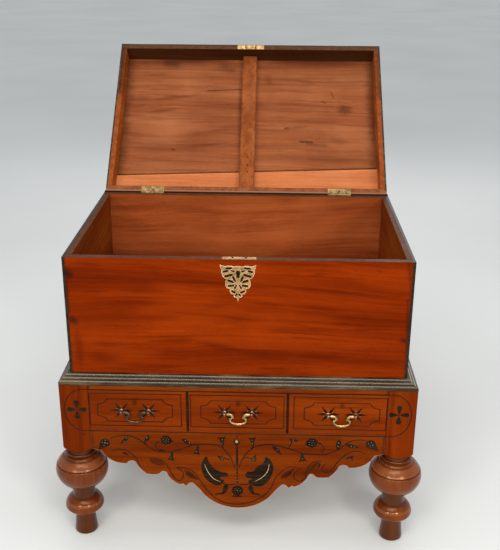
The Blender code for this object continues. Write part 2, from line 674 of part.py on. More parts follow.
def make_escutcheon(root, brass):
    """A pierced plate round the keyhole: lobes down both sides, scrolls cut through between them."""
    top = RIM - ESCUTCHEON_DROP
    half = [(0.0, -0.0010, -0.0006, 3), (0.0150, -0.0035, -0.0020, 4), (0.0380, -0.0035, 0.0, 1),
            (0.0469, 0.0, 0.0, 1), (0.0417, -0.0100, 0.0055, 6), (0.0317, -0.0388, 0.0050, 6),
            (0.0222, -0.0671, 0.0035, 4), (0.0115, -0.0860, 0.0022, 3), (0.0046, -0.0928, 0.0012, 3),
            (0.0, -0.0999, 0.0, 1)]
    right = [(x, top + z) for x, z in curved_outline([(x, z, -rise, steps) for x, z, rise, steps in half])]
    left = [(-x, z) for x, z in right[1:-1]]
    scrolls = [(0.0246, -0.0089, 0.0105, 0.0040, 0), (0.0325, -0.0190, 0.0095, 0.0036, -30),
               (0.0150, -0.0200, 0.0065, 0.0040, 10), (0.0246, -0.0290, 0.0130, 0.0042, -22),
               (0.0110, -0.0390, 0.0105, 0.0042, 62), (0.0195, -0.0450, 0.0105, 0.0042, 30),
               (0.0185, -0.0580, 0.0120, 0.0038, 4), (0.0062, -0.0600, 0.0090, 0.0040, -62),
               (0.0125, -0.0750, 0.0088, 0.0044, 35), (0.0046, -0.0838, 0.0060, 0.0036, -50)]
    holes = [keyhole_outline()]
    for x, z, width, height, tilt in scrolls:
        holes.append(ellipse_outline(x, top + z, width, height, tilt, 8))
        holes.append(ellipse_outline(-x, top + z, width, height, -tilt, 8))
    plate = slab_shape(right + left[::-1], 1, -GAP - ESCUTCHEON, -GAP, holes)
    solid("escutcheon", plate, brass, root)


# Hinges

def hinge_segment(index):
    """Start and end of one knuckle along the hinge, from its middle."""
    step = HINGE_LENGTH / KNUCKLES
    return (-HINGE_LENGTH / 2 + index * step + GAP / 2, -HINGE_LENGTH / 2 + (index + 1) * step - GAP / 2)


def make_leaf(name, x, z, knuckles, material, carrier, with_pin):
    """A flat leaf between two heights, with its share of the knuckles round the pin."""
    half = HINGE_LENGTH / 2
    leaf = solid(name, box_shape((x - half, x + half), (BOX_DEPTH - LEAF_WIDTH, BOX_DEPTH), z),
                 material, carrier, smooth=35)
    bore = PIN_RADIUS + PIN_CLEARANCE
    joins = []
    cuts = []
    for index in knuckles:
        start, end = (x + value for value in hinge_segment(index))
        joins.append(box_shape((start, end), (BOX_DEPTH - LEAF, HINGE_Y - bore), z))
        joins.append(rod_shape((start, HINGE_Y, HINGE_Z), 0, end - start, KNUCKLE_RADIUS, 12))
    if with_pin:
        pin = rod_shape((x - half + LEAF, HINGE_Y, HINGE_Z), 0, HINGE_LENGTH - 2 * LEAF, PIN_RADIUS, 10)
        joins.append(pin)
    else:
        for index in knuckles:
            start, end = (x + value for value in hinge_segment(index))
            cuts.append(rod_shape((start - LEAF, HINGE_Y, HINGE_Z), 0, end - start + 2 * LEAF, bore, 12))
    join(leaf, carrier, *joins)
    cut(leaf, carrier, *cuts)


def make_hinges(root, lid, brass):
    """Butt hinges: the lower leaf holds the pin in its three knuckles, the upper leaf turns on it."""
    for name, x in hinge_places():
        make_leaf(f"hinge_leaf_box_{name}", x, (RIM - LEAF, RIM), range(0, KNUCKLES, 2), brass, root, True)
        make_leaf(f"hinge_leaf_lid_{name}", x, (LID_RIM, LID_RIM + LEAF), range(1, KNUCKLES, 2),
                  brass, lid, False)


# Lid

def lid_ring(width, past):
    """A ring along the outer arris of the lid's rim, this wide, reaching past it by as much as given."""
    x = LID_HALF + past
    front = LID_FRONT_INSET - past
    back = BOX_DEPTH + past
    outline = [(-x, front), (x, front), (x, back), (-x, back)]
    inner_x = LID_HALF - width
    inner = [(-inner_x, LID_FRONT_INSET + width), (inner_x, LID_FRONT_INSET + width),
             (inner_x, BOX_DEPTH - width), (-inner_x, BOX_DEPTH - width)]
    return slab_shape(outline, 2, LID_RIM - past, LID_RIM + width, [inner])


def lid_joint(x):
    return BOX_DEPTH - LID_JOINT_FROM_BACK - LID_JOINT_SLOPE * x


def make_lid(lid, wood, pale_wood, ebony, brass):
    front = LID_FRONT_INSET
    z = (LID_RIM, LID_UNDER - GAP)
    rails = [board("lid_rail_front", (-LID_HALF, LID_HALF), (front, front + LID_RAIL), z, wood, lid),
             board("lid_rail_back", (-LID_HALF, LID_HALF), (BOX_DEPTH - LID_RAIL, BOX_DEPTH), z, wood, lid)]
    for name, way in (("lid_rail_left", -1), ("lid_rail_right", 1)):
        x = sorted((way * LID_HALF, way * (LID_HALF - LID_RAIL)))
        y = (front + LID_RAIL + GAP, BOX_DEPTH - LID_RAIL - GAP)
        rails.append(board(name, x, y, z, wood, lid))
    rebate = tool("rebate_lid", lid_ring(LID_EDGING + GAP, PAST), lid)
    for rail in rails:
        cut(rail, lid, rebate)
    edging = solid("lid_edging", lid_ring(LID_EDGING, 0.0), ebony, lid)
    recesses = [tool(f"leaf_recess_{name}", leaf_recess(x, LID_RIM - PAST, LID_RIM + LEAF + GAP), lid)
                for name, x in hinge_places()]
    for piece in (rails[1], edging):
        cut(piece, lid, *recesses)

    left = -LID_HALF
    right = LID_HALF
    z = (LID_UNDER, LID_UNDER + LID_BOARD)
    main = [(left, front), (right, front), (right, lid_joint(right) - GAP), (left, lid_joint(left) - GAP)]
    narrow = [(left, lid_joint(left)), (right, lid_joint(right)), (right, BOX_DEPTH), (left, BOX_DEPTH)]
    solid("lid_board_main", slab_shape(main, 2, *z), wood, lid, bevel=ARRIS)
    solid("lid_board_narrow", slab_shape(narrow, 2, *z), pale_wood, lid, bevel=ARRIS)
    half = BATTEN_WIDTH / 2
    inside = (front + LID_RAIL + GAP, BOX_DEPTH - LID_RAIL - GAP)
    batten = [(-half, inside[0]), (half, inside[0]), (half, inside[1]), (-half, inside[1])]
    solid("lid_batten", slab_shape(batten, 2, LID_UNDER - GAP - BATTEN_DEPTH, LID_UNDER - GAP),
          wood, lid, bevel=4 * ARRIS)

    recess = tool("link_recess", link_plate_shape(GAP), lid)
    for piece in (rails[0], edging):
        cut(piece, lid, recess)
    make_link_plate(lid, brass)


def link_plate_shape(clearance):
    """The plate let into the lid's front rim, or with a clearance the recess that takes it."""
    middle = LID_FRONT_INSET + LID_RAIL / 2
    x = LINK_PLATE_LENGTH / 2 + clearance
    y = LINK_PLATE_WIDTH / 2 + clearance
    low = LID_RIM - (PAST if clearance else 0.0)
    high = LID_RIM + LINK_PLATE + clearance
    return box_shape((LOCK_X - x, LOCK_X + x), (middle - y, middle + y), (low, high))


def make_link_plate(lid, brass):
    """The plate with its two loops, whose eyes take the prongs of the bolt."""
    plate = solid("link_plate", link_plate_shape(0.0), brass, lid)
    front = LINK_Y - LINK_WIDTH / 2
    back = LINK_Y + LINK_WIDTH / 2
    root = LID_RIM + LINK_PLATE / 2
    loop = [(front, root), (back, root), (back, EYE_Z)]
    loop += arc((back, EYE_Z), (front, EYE_Z), LINK_WIDTH / 2, 6)
    for way in (-1, 1):
        x = LOCK_X + way * LINK_SPACING / 2
        join(plate, lid, slab_shape(loop, 0, x - LINK_THICKNESS / 2, x + LINK_THICKNESS / 2))
    eye = rod_shape((LOCK_X - LINK_SPACING, LINK_Y, EYE_Z), 0, 2 * LINK_SPACING, LINK_EYE_RADIUS, 10)
    cut(plate, lid, eye)


# Drawers

def make_drawer(name, middle, carrier, wood, inner_wood):
    half = DRAWER_BAY / 2 - SLIDE_GAP
    floor = DRAWER_FLOOR + GAP
    top = floor + DRAWER_FRONT_HEIGHT
    side_top = top - DRAWER_SIDE_DROP
    seat = STAND_FRONT + DRAWER_FRONT
    groove = (floor + DRAWER_BOTTOM_RISE - GAP, floor + DRAWER_BOTTOM_RISE + DRAWER_BOTTOM + GAP)
    front = board(f"drawer_front_{name}", (middle - half, middle + half), (STAND_FRONT, seat),
                  (floor, top), wood, carrier)
    inside = half - DRAWER_SIDE - GAP
    for way in (-1, 1):
        x = sorted((middle + way * (half + PAST), middle + way * inside))
        cut(front, carrier, box_shape(x, (seat - LAP - GAP, seat + PAST), (floor - PAST, top + PAST)))
    cut(front, carrier, box_shape((middle - inside - PAST, middle + inside + PAST),
                                  (seat - GROOVE - GAP, seat + PAST), groove))
    for label, way in (("left", -1), ("right", 1)):
        outer = middle + way * half
        inner = outer - way * DRAWER_SIDE
        bed = inner + way * (GROOVE + GAP)
        section = [(outer, floor), (inner, floor), (inner, groove[0]), (bed, groove[0]), (bed, groove[1]),
                   (inner, groove[1]), (inner, side_top), (outer, side_top)]
        solid(f"drawer_side_{name}_{label}", slab_shape(section, 1, seat - LAP, DRAWER_BACK_Y),
              inner_wood, carrier)
    board(f"drawer_back_{name}", (middle - inside, middle + inside),
          (DRAWER_BACK_Y - DRAWER_SIDE, DRAWER_BACK_Y), (groove[1], side_top), inner_wood, carrier)
    board(f"drawer_bottom_{name}", (middle - inside - GROOVE, middle + inside + GROOVE),
          (seat - GROOVE, DRAWER_BACK_Y), (groove[0] + GAP, groove[1] - GAP), inner_wood, carrier)
    return front


def post_shape(x):
    """A handle post, turned in one piece: rivet head inside, shank, collar, neck and ball."""
    inner = -DRAWER_FRONT - GAP - RIVET_HEIGHT
    profile = [(0.0, inner), (RIVET_RADIUS, inner), (RIVET_RADIUS, inner + RIVET_HEIGHT),
               (SHANK_RADIUS, inner + RIVET_HEIGHT), (SHANK_RADIUS, GAP), (POST_COLLAR_RADIUS, GAP),
               (POST_COLLAR_RADIUS * 0.9, GAP + POST_COLLAR), (POST_NECK_RADIUS, GAP + POST_COLLAR * 1.6)]
    first = acos(POST_NECK_RADIUS / POST_BALL_RADIUS)
    steps = 5
    for step in range(steps):
        angle = -first + (first + pi / 2) * step / steps
        profile.append((POST_BALL_RADIUS * cos(angle), POST_REACH + POST_BALL_RADIUS * sin(angle)))
    profile.append((0.0, POST_REACH + POST_BALL_RADIUS))
    shape = turned_shape(profile, 10)
    bmesh.ops.transform(shape, matrix=Matrix.Translation((x, STAND_FRONT, HANDLE_Z))
                        @ Matrix.Rotation(pi / 2, 4, "X"), verts=shape.verts)
    return shape


def bail_sections(middle):
    """Centres and radii along the bail: a pin in each post, a swan neck, and the grip between.

    The bar is drawn inwards from a post's middle in shares of half the span, and down from the
    axis in shares of the drop.
    """
    y = STAND_FRONT - POST_REACH
    half = HANDLE_SPAN / 2
    shoulder = POST_BALL_RADIUS + GAP
    collar = (BAIL_PIN_RADIUS + BAIL_ARM_RADIUS) / 2
    neck = (BAIL_ARM_RADIUS + BAIL_WAIST_RADIUS) / 2
    arm = [(half + POST_BALL_RADIUS / 3, 0.0, BAIL_PIN_RADIUS), (half - shoulder, 0.0, BAIL_PIN_RADIUS),
           (half - shoulder - GAP, 0.0, collar)]
    drawn = [(0.28, 0.01, BAIL_ARM_RADIUS), (0.43, -0.01, BAIL_ARM_RADIUS), (0.55, -0.09, BAIL_ARM_RADIUS),
             (0.59, -0.22, BAIL_ARM_RADIUS), (0.56, -0.35, neck), (0.47, -0.47, BAIL_WAIST_RADIUS),
             (0.42, -0.59, BAIL_WAIST_RADIUS), (0.45, -0.73, BAIL_WAIST_RADIUS),
             (0.56, -0.86, BAIL_WAIST_RADIUS), (0.75, -0.96, neck)]
    arm += [(half - inward * half, down * BAIL_DROP, radius) for inward, down, radius in drawn]
    right = [((middle + x, y, HANDLE_Z + z), radius) for x, z, radius in arm]
    left = [((middle - x, y, HANDLE_Z + z), radius) for x, z, radius in arm]
    return right + [((middle, y, HANDLE_Z - BAIL_DROP), BAIL_GRIP_RADIUS)] + left[::-1]


def make_handle(name, middle, front, drawer, handle, brass):
    bore = BAIL_PIN_RADIUS + BAIL_PIN_CLEARANCE
    for label, way in (("left", -1), ("right", 1)):
        x = middle + way * HANDLE_SPAN / 2
        hole = rod_shape((x, STAND_FRONT - PAST, HANDLE_Z), 1, DRAWER_FRONT + 2 * PAST,
                         SHANK_RADIUS + GAP, 10)
        cut(front, drawer, hole)
        post = solid(f"handle_post_{name}_{label}", post_shape(x), brass, drawer, smooth=50)
        ends = sorted((x - way * 2 * POST_BALL_RADIUS, x + way * POST_BALL_RADIUS / 2))
        cut(post, drawer, rod_shape((ends[0], STAND_FRONT - POST_REACH, HANDLE_Z), 0,
                                    ends[1] - ends[0], bore, 10))
    solid(f"handle_bail_{name}", swept_shape(bail_sections(middle), BAIL_SIDES), brass, handle, smooth=60)


# Assembly

def remove_everything():
    for piece in list(bpy.data.objects):
        bpy.data.objects.remove(piece, do_unlink=True)


def root_offset():
    """Chest coordinates of the point on the floor midway under the whole, with the lid open."""
    angle = radians(LID_OPEN_ANGLE)
    depth = HINGE_Y - LID_FRONT_INSET
    top = LID_UNDER + LID_BOARD - HINGE_Z
    back = HINGE_Y - depth * cos(angle) + top * sin(angle)
    front = STAND_FRONT + BLOCK / 2 - BULB_RADIUS
    return (0.0, (front + back) / 2, 0.0)


def make_chest():
    remove_everything()
    box_wood = principled("box_wood", (0.33, 0.075, 0.012), 0.35)
    stand_wood = principled("stand_wood", (0.40, 0.095, 0.018), 0.35)
    leg_wood = principled("leg_wood", (0.16, 0.045, 0.015), 0.28)
    lid_wood = principled("lid_wood", (0.24, 0.07, 0.03), 0.50)
    pale_wood = principled("pale_wood", (0.62, 0.22, 0.09), 0.50)
    inner_wood = principled("inner_wood", (0.30, 0.12, 0.05), 0.60)
    ebony = principled("ebony", (0.03, 0.02, 0.015), 0.30)
    brass = principled("brass", (0.60, 0.38, 0.14), 0.32, 1.0)
    steel = principled("steel", (0.18, 0.17, 0.16), 0.45, 1.0)

    root = Carrier("root", root_offset())
    root.empty.location = (0.0, 0.0, 0.0)
    lid = Carrier("lid_hinge_axis", (0.0, HINGE_Y, HINGE_Z), root)
    bolt = Carrier("lock_bolt_slide", (LOCK_X, LINK_Y, EYE_Z), root)

    make_legs(root, leg_wood)
    make_rails(root, stand_wood)
    make_bearers(root, inner_wood)
    make_moulding(root, ebony)
    make_box(root, box_wood, ebony)
    make_lock(root, bolt, brass, steel)
    make_escutcheon(root, brass)
    make_hinges(root, lid, brass)
    make_lid(lid, lid_wood, pale_wood, ebony, brass)
    for index, name in enumerate(DRAWER_NAMES):
        middle = (index - 1) * (DRAWER_BAY + DIVIDER)
        drawer = Carrier(f"drawer_slide_{name}", (middle, STAND_FRONT, DRAWER_FLOOR), root)
        front = make_drawer(name, middle, drawer, stand_wood, inner_wood)
        middle += HANDLE_SHIFTS[index]
        handle = Carrier(f"handle_axis_{name}", (middle, STAND_FRONT - POST_REACH, HANDLE_Z), drawer)
        make_handle(name, middle, front, drawer, handle, brass)
    lid.empty.rotation_euler = (-radians(LID_OPEN_ANGLE), 0.0, 0.0)
    bpy.context.view_layer.update()


make_chest()
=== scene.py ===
"""A marriage chest on a stand: its looks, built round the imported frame.

Everything is in metres, +Z up, and the chest faces -Y. Places come from the frame's nodes. Ornament
that was read off the photograph is written as pixels of its 500 by 550 frame, and is laid on the
piece that carries it along the camera's own ray through each pixel.
"""
from math import acos, atan2, cos, hypot, pi, radians, sin, sqrt, tan, tau

import bmesh
import bpy
from mathutils import Matrix, Vector


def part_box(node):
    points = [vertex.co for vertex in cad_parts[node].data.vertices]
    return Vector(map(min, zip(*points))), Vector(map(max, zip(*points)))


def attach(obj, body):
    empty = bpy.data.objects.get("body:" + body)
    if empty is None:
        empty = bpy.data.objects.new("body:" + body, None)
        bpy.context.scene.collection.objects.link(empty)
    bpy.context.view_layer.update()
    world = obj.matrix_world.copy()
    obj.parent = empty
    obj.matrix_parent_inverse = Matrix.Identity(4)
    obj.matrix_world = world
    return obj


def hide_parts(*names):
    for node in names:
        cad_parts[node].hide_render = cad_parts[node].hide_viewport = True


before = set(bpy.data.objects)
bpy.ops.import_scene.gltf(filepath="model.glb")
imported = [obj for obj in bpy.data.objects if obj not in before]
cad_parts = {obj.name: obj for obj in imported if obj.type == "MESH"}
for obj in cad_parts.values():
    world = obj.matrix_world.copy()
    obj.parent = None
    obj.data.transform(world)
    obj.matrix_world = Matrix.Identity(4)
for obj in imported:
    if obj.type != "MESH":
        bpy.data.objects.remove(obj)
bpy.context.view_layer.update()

DRAWERS = ("left", "centre", "right")
SIDES = ("left", "right")
LEGS = tuple(f"leg_{end}_{side}" for end in ("front", "back") for side in SIDES)
LID_ANGLE = 137.0          # how far the lid leans back from shut, in degrees

# Camera, fitted to the photograph
CAMERA_PLACE = Vector((0.0838, -2.6220, 1.6438))
CAMERA_YAW = 1.438
CAMERA_PITCH = -21.486
CAMERA_ROLL = -0.378
PHOTO_WIDTH = 500
PHOTO_HEIGHT = 550
FOCAL_PIXELS = 865.28
SENSOR = 36.0

# What a pixel of the photograph spans on the stand's front, the box's front and the lid's boards
PIXEL = 0.00277
FRONT_PIXEL = 0.00263
LID_PIXEL = 0.0034

camera_turn = (Matrix.Rotation(radians(CAMERA_YAW), 3, "Z") @ Matrix.Rotation(radians(CAMERA_PITCH), 3, "X")
               @ Matrix.Rotation(radians(CAMERA_ROLL), 3, "Y"))


def make_camera():
    data = bpy.data.cameras.new("camera")
    data.sensor_width = SENSOR
    data.sensor_fit = "AUTO"
    data.lens = FOCAL_PIXELS * SENSOR / PHOTO_HEIGHT
    camera = bpy.data.objects.new("camera", data)
    camera.location = CAMERA_PLACE
    camera.rotation_euler = (camera_turn @ Matrix.Rotation(pi / 2, 3, "X")).to_euler()
    bpy.context.scene.collection.objects.link(camera)
    bpy.context.scene.camera = camera


def seen_on(pixel, point, normal):
    """Where the ray through a pixel meets the plane through a point."""
    across = (pixel[0] - PHOTO_WIDTH / 2) / FOCAL_PIXELS
    above = (PHOTO_HEIGHT / 2 - pixel[1]) / FOCAL_PIXELS
    ray = camera_turn @ Vector((across, 1.0, above))
    reach = (Vector(point) - CAMERA_PLACE).dot(normal) / ray.dot(normal)
    return CAMERA_PLACE + ray * reach


# Places on the frame's nodes

def box_middle(node):
    low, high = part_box(node)
    return (low + high) / 2


def post_places(name):
    """The middles of a drawer's two handle posts."""
    return [box_middle(f"handle_post_{name}_{side}") for side in SIDES]


def furthest(node, way):
    """The distance along a way to the furthest point of a node."""
    return max(corner.co.dot(way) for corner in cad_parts[node].data.vertices)


def lid_axes():
    """The ways towards the lid's front and out of its rim, as it stands open."""
    angle = radians(LID_ANGLE)
    return Vector((0.0, -cos(angle), sin(angle))), Vector((0.0, -sin(angle), -cos(angle)))


# Flat points

def heading(start, end):
    """The unit way from one flat point to another, and how far it is."""
    run = (end[0] - start[0], end[1] - start[1])
    length = hypot(*run)
    return (run[0] / length, run[1] / length), length


def moved(point, way, along, aside=0.0):
    """A flat point moved along a way, and aside to the way's left."""
    return (point[0] + way[0] * along - way[1] * aside, point[1] + way[1] * along + way[0] * aside)


def spun(middle, radius, angle):
    """The flat point at a radius and an angle round a middle."""
    return (middle[0] + radius * cos(angle), middle[1] + radius * sin(angle))


def sweep(middle, radius, first, turn, steps):
    """Flat points round a middle, from a first angle on through a turn."""
    return [spun(middle, radius, first + turn * step / steps) for step in range(steps + 1)]


def circle(middle, radius, steps):
    return sweep(middle, radius, 0.0, tau, steps)[:-1]


def drop(middle, radius, tip, steps):
    """A round head that narrows to a tip."""
    ahead, reach = heading(middle, tip)
    open_angle = acos(min(radius / reach, 0.95))
    first = atan2(ahead[1], ahead[0]) + open_angle
    return [tuple(tip)] + sweep(middle, radius, first, tau - 2 * open_angle, steps)


def slot_outline(start, end, half):
    """A slot with round ends."""
    aim = atan2(end[1] - start[1], end[0] - start[0])
    return sweep(end, half, aim - pi / 2, pi, 6) + sweep(start, half, aim + pi / 2, pi, 6)


def smooth_line(points, steps=4, closed=False):
    """A curve through the points, with this many steps between each two."""
    count = len(points)
    line = []
    for index in range(count if closed else count - 1):
        nearby = []
        for number in range(index - 1, index + 3):
            nearby.append(points[number % count if closed else min(max(number, 0), count - 1)])
        for step in range(steps):
            t = step / steps
            line.append(tuple(0.5 * (2 * b + (c - a) * t + (2 * a - 5 * b + 4 * c - d) * t * t
                                     + (3 * b - a - 3 * c + d) * t ** 3)
                              for a, b, c, d in zip(*nearby)))
    return line if closed else line + [tuple(points[-1])]


def arc(start, end, rise, steps):
    """Points after start, up to and with end, on an arc that leaves its chord by rise on its right."""
    ahead, chord = heading(start, end)
    side = 1 if rise > 0 else -1
    radius = (chord ** 2 / 4 + rise ** 2) / (2 * abs(rise))
    depth = radius - abs(rise)
    middle = moved(start, ahead, chord / 2, depth * side)
    first = atan2(start[1] - middle[1], start[0] - middle[0])
    return sweep(middle, radius, first, 2 * atan2(chord / 2, depth) * side, steps)[1:-1] + [end]


def part_ellipse(end, middle, end_radius, radius, steps):
    """Points from an end height to the widest height, on an ellipse that has the end's radius there."""
    last = acos(end_radius / radius)
    reach = (end - middle) / sin(last)
    angles = [last * (1 - step / steps) for step in range(steps + 1)]
    return [(radius * cos(angle), middle + reach * sin(angle)) for angle in angles]


# Shapes

FRONT = Vector((0.0, -1.0, 0.0))
BEAD_STEPS = 5             # facets round a half-round bead
LEAST_OPENING = 0.5        # keeps the mitre of a sharp turn short


class Plane:
    """A flat face to lay ornament on: an origin, and the ways across, up and out of it."""

    def __init__(self, origin, across, up):
        self.origin = Vector(origin)
        self.across = Vector(across).normalized()
        self.up = Vector(up).normalized()
        self.out = self.across.cross(self.up)

    def at(self, point, lift):
        return self.origin + self.across * point[0] + self.up * point[1] + self.out * lift

    def seen(self, pixel):
        """The point of the face that the photograph shows at a pixel."""
        offset = seen_on(pixel, self.origin, self.out) - self.origin
        return (offset.dot(self.across), offset.dot(self.up))


def front_plane(depth):
    """An upright face that looks forwards, so that its flat points are x and z."""
    return Plane((0.0, depth, 0.0), (1, 0, 0), (0, 0, 1))


class Shape:
    """Points and faces of one piece, gathered before they become a mesh."""

    def __init__(self):
        self.points = []
        self.faces = []

    def ring(self, points):
        start = len(self.points)
        self.points += [tuple(point) for point in points]
        return list(range(start, len(self.points)))

    def bridge(self, first, second):
        for index in range(len(first)):
            self.faces.append((first[index - 1], first[index], second[index], second[index - 1]))

    def run(self, sections, closed=False):
        for first, second in zip(sections, sections[1:]):
            self.bridge(first, second)
        if closed:
            self.bridge(sections[-1], sections[0])
        else:
            self.faces += [tuple(sections[0]), tuple(sections[-1])]

    def slab(self, outline, plane, low, high):
        """A flat plate of an outline, between two lifts off the plane."""
        self.run([self.ring(plane.at(point, lift) for point in outline) for lift in (low, high)])

    def ribbon(self, line, half, plane, low, high, closed=False):
        """A flat band along a line, mitred at its turns. half is its half width, or a list of them."""
        count = len(line)
        halves = half if isinstance(half, list) else [half] * count
        sections = []
        for index, point in enumerate(line):
            ways = [heading(line[start], line[end % count])[0]
                    for start, end in ((index - 1, index), (index, index + 1))
                    if closed or (start >= 0 and end < count)]
            first, second = ways[0], ways[-1]
            opening = max(1 + first[0] * second[0] + first[1] * second[1], LEAST_OPENING)
            mean = ((first[0] + second[0]) / opening, (first[1] + second[1]) / opening)
            left, right = (moved(point, mean, 0.0, way * halves[index]) for way in (1, -1))
            sections.append(self.ring([plane.at(left, low), plane.at(right, low),
                                       plane.at(right, high), plane.at(left, high)]))
        self.run(sections, closed)

    def pierced(self, outline, holes, plane, low, high):
        """A flat plate with holes through it."""
        flat = bmesh.new()
        edges = []
        loops = []
        for loop in (outline, *holes):
            corners = [flat.verts.new((x, y, 0.0)) for x, y in loop]
            edges += [flat.edges.new(ends) for ends in zip(corners[-1:] + corners[:-1], corners)]
            loops.append(corners)
        bmesh.ops.triangle_fill(flat, use_beauty=True, use_dissolve=False, edges=edges)
        flat.verts.index_update()
        bottom, top = (self.ring(plane.at(corner.co, lift) for corner in flat.verts)
                       for lift in (low, high))
        for face in flat.faces:
            for side in (bottom, top):
                self.faces.append(tuple(side[corner.index] for corner in face.verts))
        for corners in loops:
            self.bridge(*([side[corner.index] for corner in corners] for side in (bottom, top)))
        flat.free()

    def bead(self, line, plane, half_width, height, low):
        """A half-round bead along a closed line, raised off the plane."""
        sections = []
        for index, point in enumerate(line):
            ahead = heading(line[index - 1], line[(index + 1) % len(line)])[0]
            section = []
            for out, rise in sweep((0.0, 0.0), 1.0, 0.0, pi, BEAD_STEPS):
                lift = height * rise if abs(out) < 0.999 else low
                section.append(plane.at(moved(point, ahead, 0.0, half_width * out), lift))
            sections.append(self.ring(section))
        self.run(sections, closed=True)

    def turned(self, profile, place, segments):
        """Radius and height pairs spun about an axis that comes out forwards. Radius 0 closes an end."""
        before = None
        for radius, height in profile:
            if radius == 0.0:
                ring = self.ring([place + FRONT * height]) * segments
            else:
                ring = self.ring((x, place.y - height, z)
                                 for x, z in circle((place.x, place.z), radius, segments))
            if before:
                for index in range(segments):
                    corners = (before[index - 1], before[index], ring[index], ring[index - 1])
                    self.faces.append(tuple(dict.fromkeys(corners)))
            before = ring

    def tube(self, line, depth, sides):
        """A round bar along a line of (x, z, radius) that lies at one depth."""
        path = [Vector((x, depth, z)) for x, z, radius in line]
        sections = []
        for index, (x, z, radius) in enumerate(line):
            ahead = (path[min(index + 1, len(path) - 1)] - path[max(index - 1, 0)]).normalized()
            across = FRONT.cross(ahead).normalized()
            sections.append(self.ring(path[index] + across * aside - FRONT * inward
                                      for aside, inward in circle((0.0, 0.0), radius, sides)))
        self.run(sections)

    def piece(self, name, material, body, slot, sharp=40.0):
        mesh = bpy.data.meshes.new(name)
        mesh.from_pydata(self.points, [], self.faces)
        shell = bmesh.new()
        shell.from_mesh(mesh)
        bmesh.ops.recalc_face_normals(shell, faces=shell.faces)
        shell.to_mesh(mesh)
        shell.free()
        mesh.materials.append(material)
        mesh.shade_smooth()
        mesh.set_sharp_from_angle(angle=radians(sharp))
        made = bpy.data.objects.new(name, mesh)
        bpy.context.scene.collection.objects.link(made)
        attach(made, body)
        return made


# Legs, as heights and radii of their turning

FOOT_HEIGHT = 0.0710
FOOT_FLAT_RADIUS = 0.0285
FOOT_ROUNDING = 0.0045
FOOT_RADIUS = 0.0333
FOOT_NECK_RADIUS = 0.0277
FOOT_HOLLOW = 1.3          # how hollow the foot is drawn in to its neck
BALL_LOWER = 0.0200
BALL_UPPER = 0.0335
BALL_RADIUS = 0.0552
NECK_HEIGHT = 0.0335
NECK_RADIUS = 0.0330
BULB_LOWER = 0.0565
BULB_UPPER = 0.0520
BULB_RADIUS = 0.0745
COLLAR_RADIUS = 0.0450
COLLAR_HEIGHT = 0.0080
THROAT_RADIUS = 0.0360
THROAT_HEIGHT = 0.0245
SHOULDER_HEIGHT = 0.0140
SHOULDER_HOLLOW = 1.6
BALL_MIDDLE = FOOT_HEIGHT + BALL_LOWER
NECK_FOOT = BALL_MIDDLE + BALL_UPPER
BULB_FOOT = NECK_FOOT + NECK_HEIGHT
BULB_MIDDLE = BULB_FOOT + BULB_LOWER
COLLAR_FOOT = BULB_MIDDLE + BULB_UPPER
THROAT_FOOT = COLLAR_FOOT + COLLAR_HEIGHT
TURNING_HEIGHT = THROAT_FOOT + THROAT_HEIGHT
SHOULDER_FOOT = TURNING_HEIGHT - SHOULDER_HEIGHT
BLOCK_HALF = 0.0395
BLOCK_ARRIS = 0.0014
GROOVE = 0.0011            # depth of the turned lines
LEG_SEGMENTS = 64
CORNER_STEPS = (-1.3, -0.7, 0.7, 1.3)   # degrees to either side of a corner, where its arris turns
# Lines turned on the bulb: degrees round its curve, how far they stand out, and half their width
BULB_LINES = ((17.2, 0.0006, 1.3), (20.6, -0.0016, 1.8), (48.2, -0.0014, 2.0), (53.4, 0.0010, 2.4))
BULB_STOPS = range(4, 58, 4)   # degrees round the bulb's curve where it has a facet


def bulb_top():
    """The bulb above its widest height, up to the collar, with the lines that were turned on it."""
    reach = BULB_UPPER / sin(acos(THROAT_RADIUS / BULB_RADIUS))
    stops = [(radians(degrees), 0.0) for degrees in BULB_STOPS
             if all(abs(degrees - middle) > half + 1.0 for middle, out, half in BULB_LINES)]
    for middle, out, half in BULB_LINES:
        stops += [(radians(middle + half * share), out * (1 - abs(share)))
                  for share in (-1, -0.5, 0, 0.5, 1)]
    points = []
    for angle, out in sorted(stops):
        lean = Vector((cos(angle) / BULB_RADIUS, sin(angle) / reach)).normalized()
        points.append((BULB_RADIUS * cos(angle) + out * lean[0],
                       BULB_MIDDLE + reach * sin(angle) + out * lean[1]))
    return points


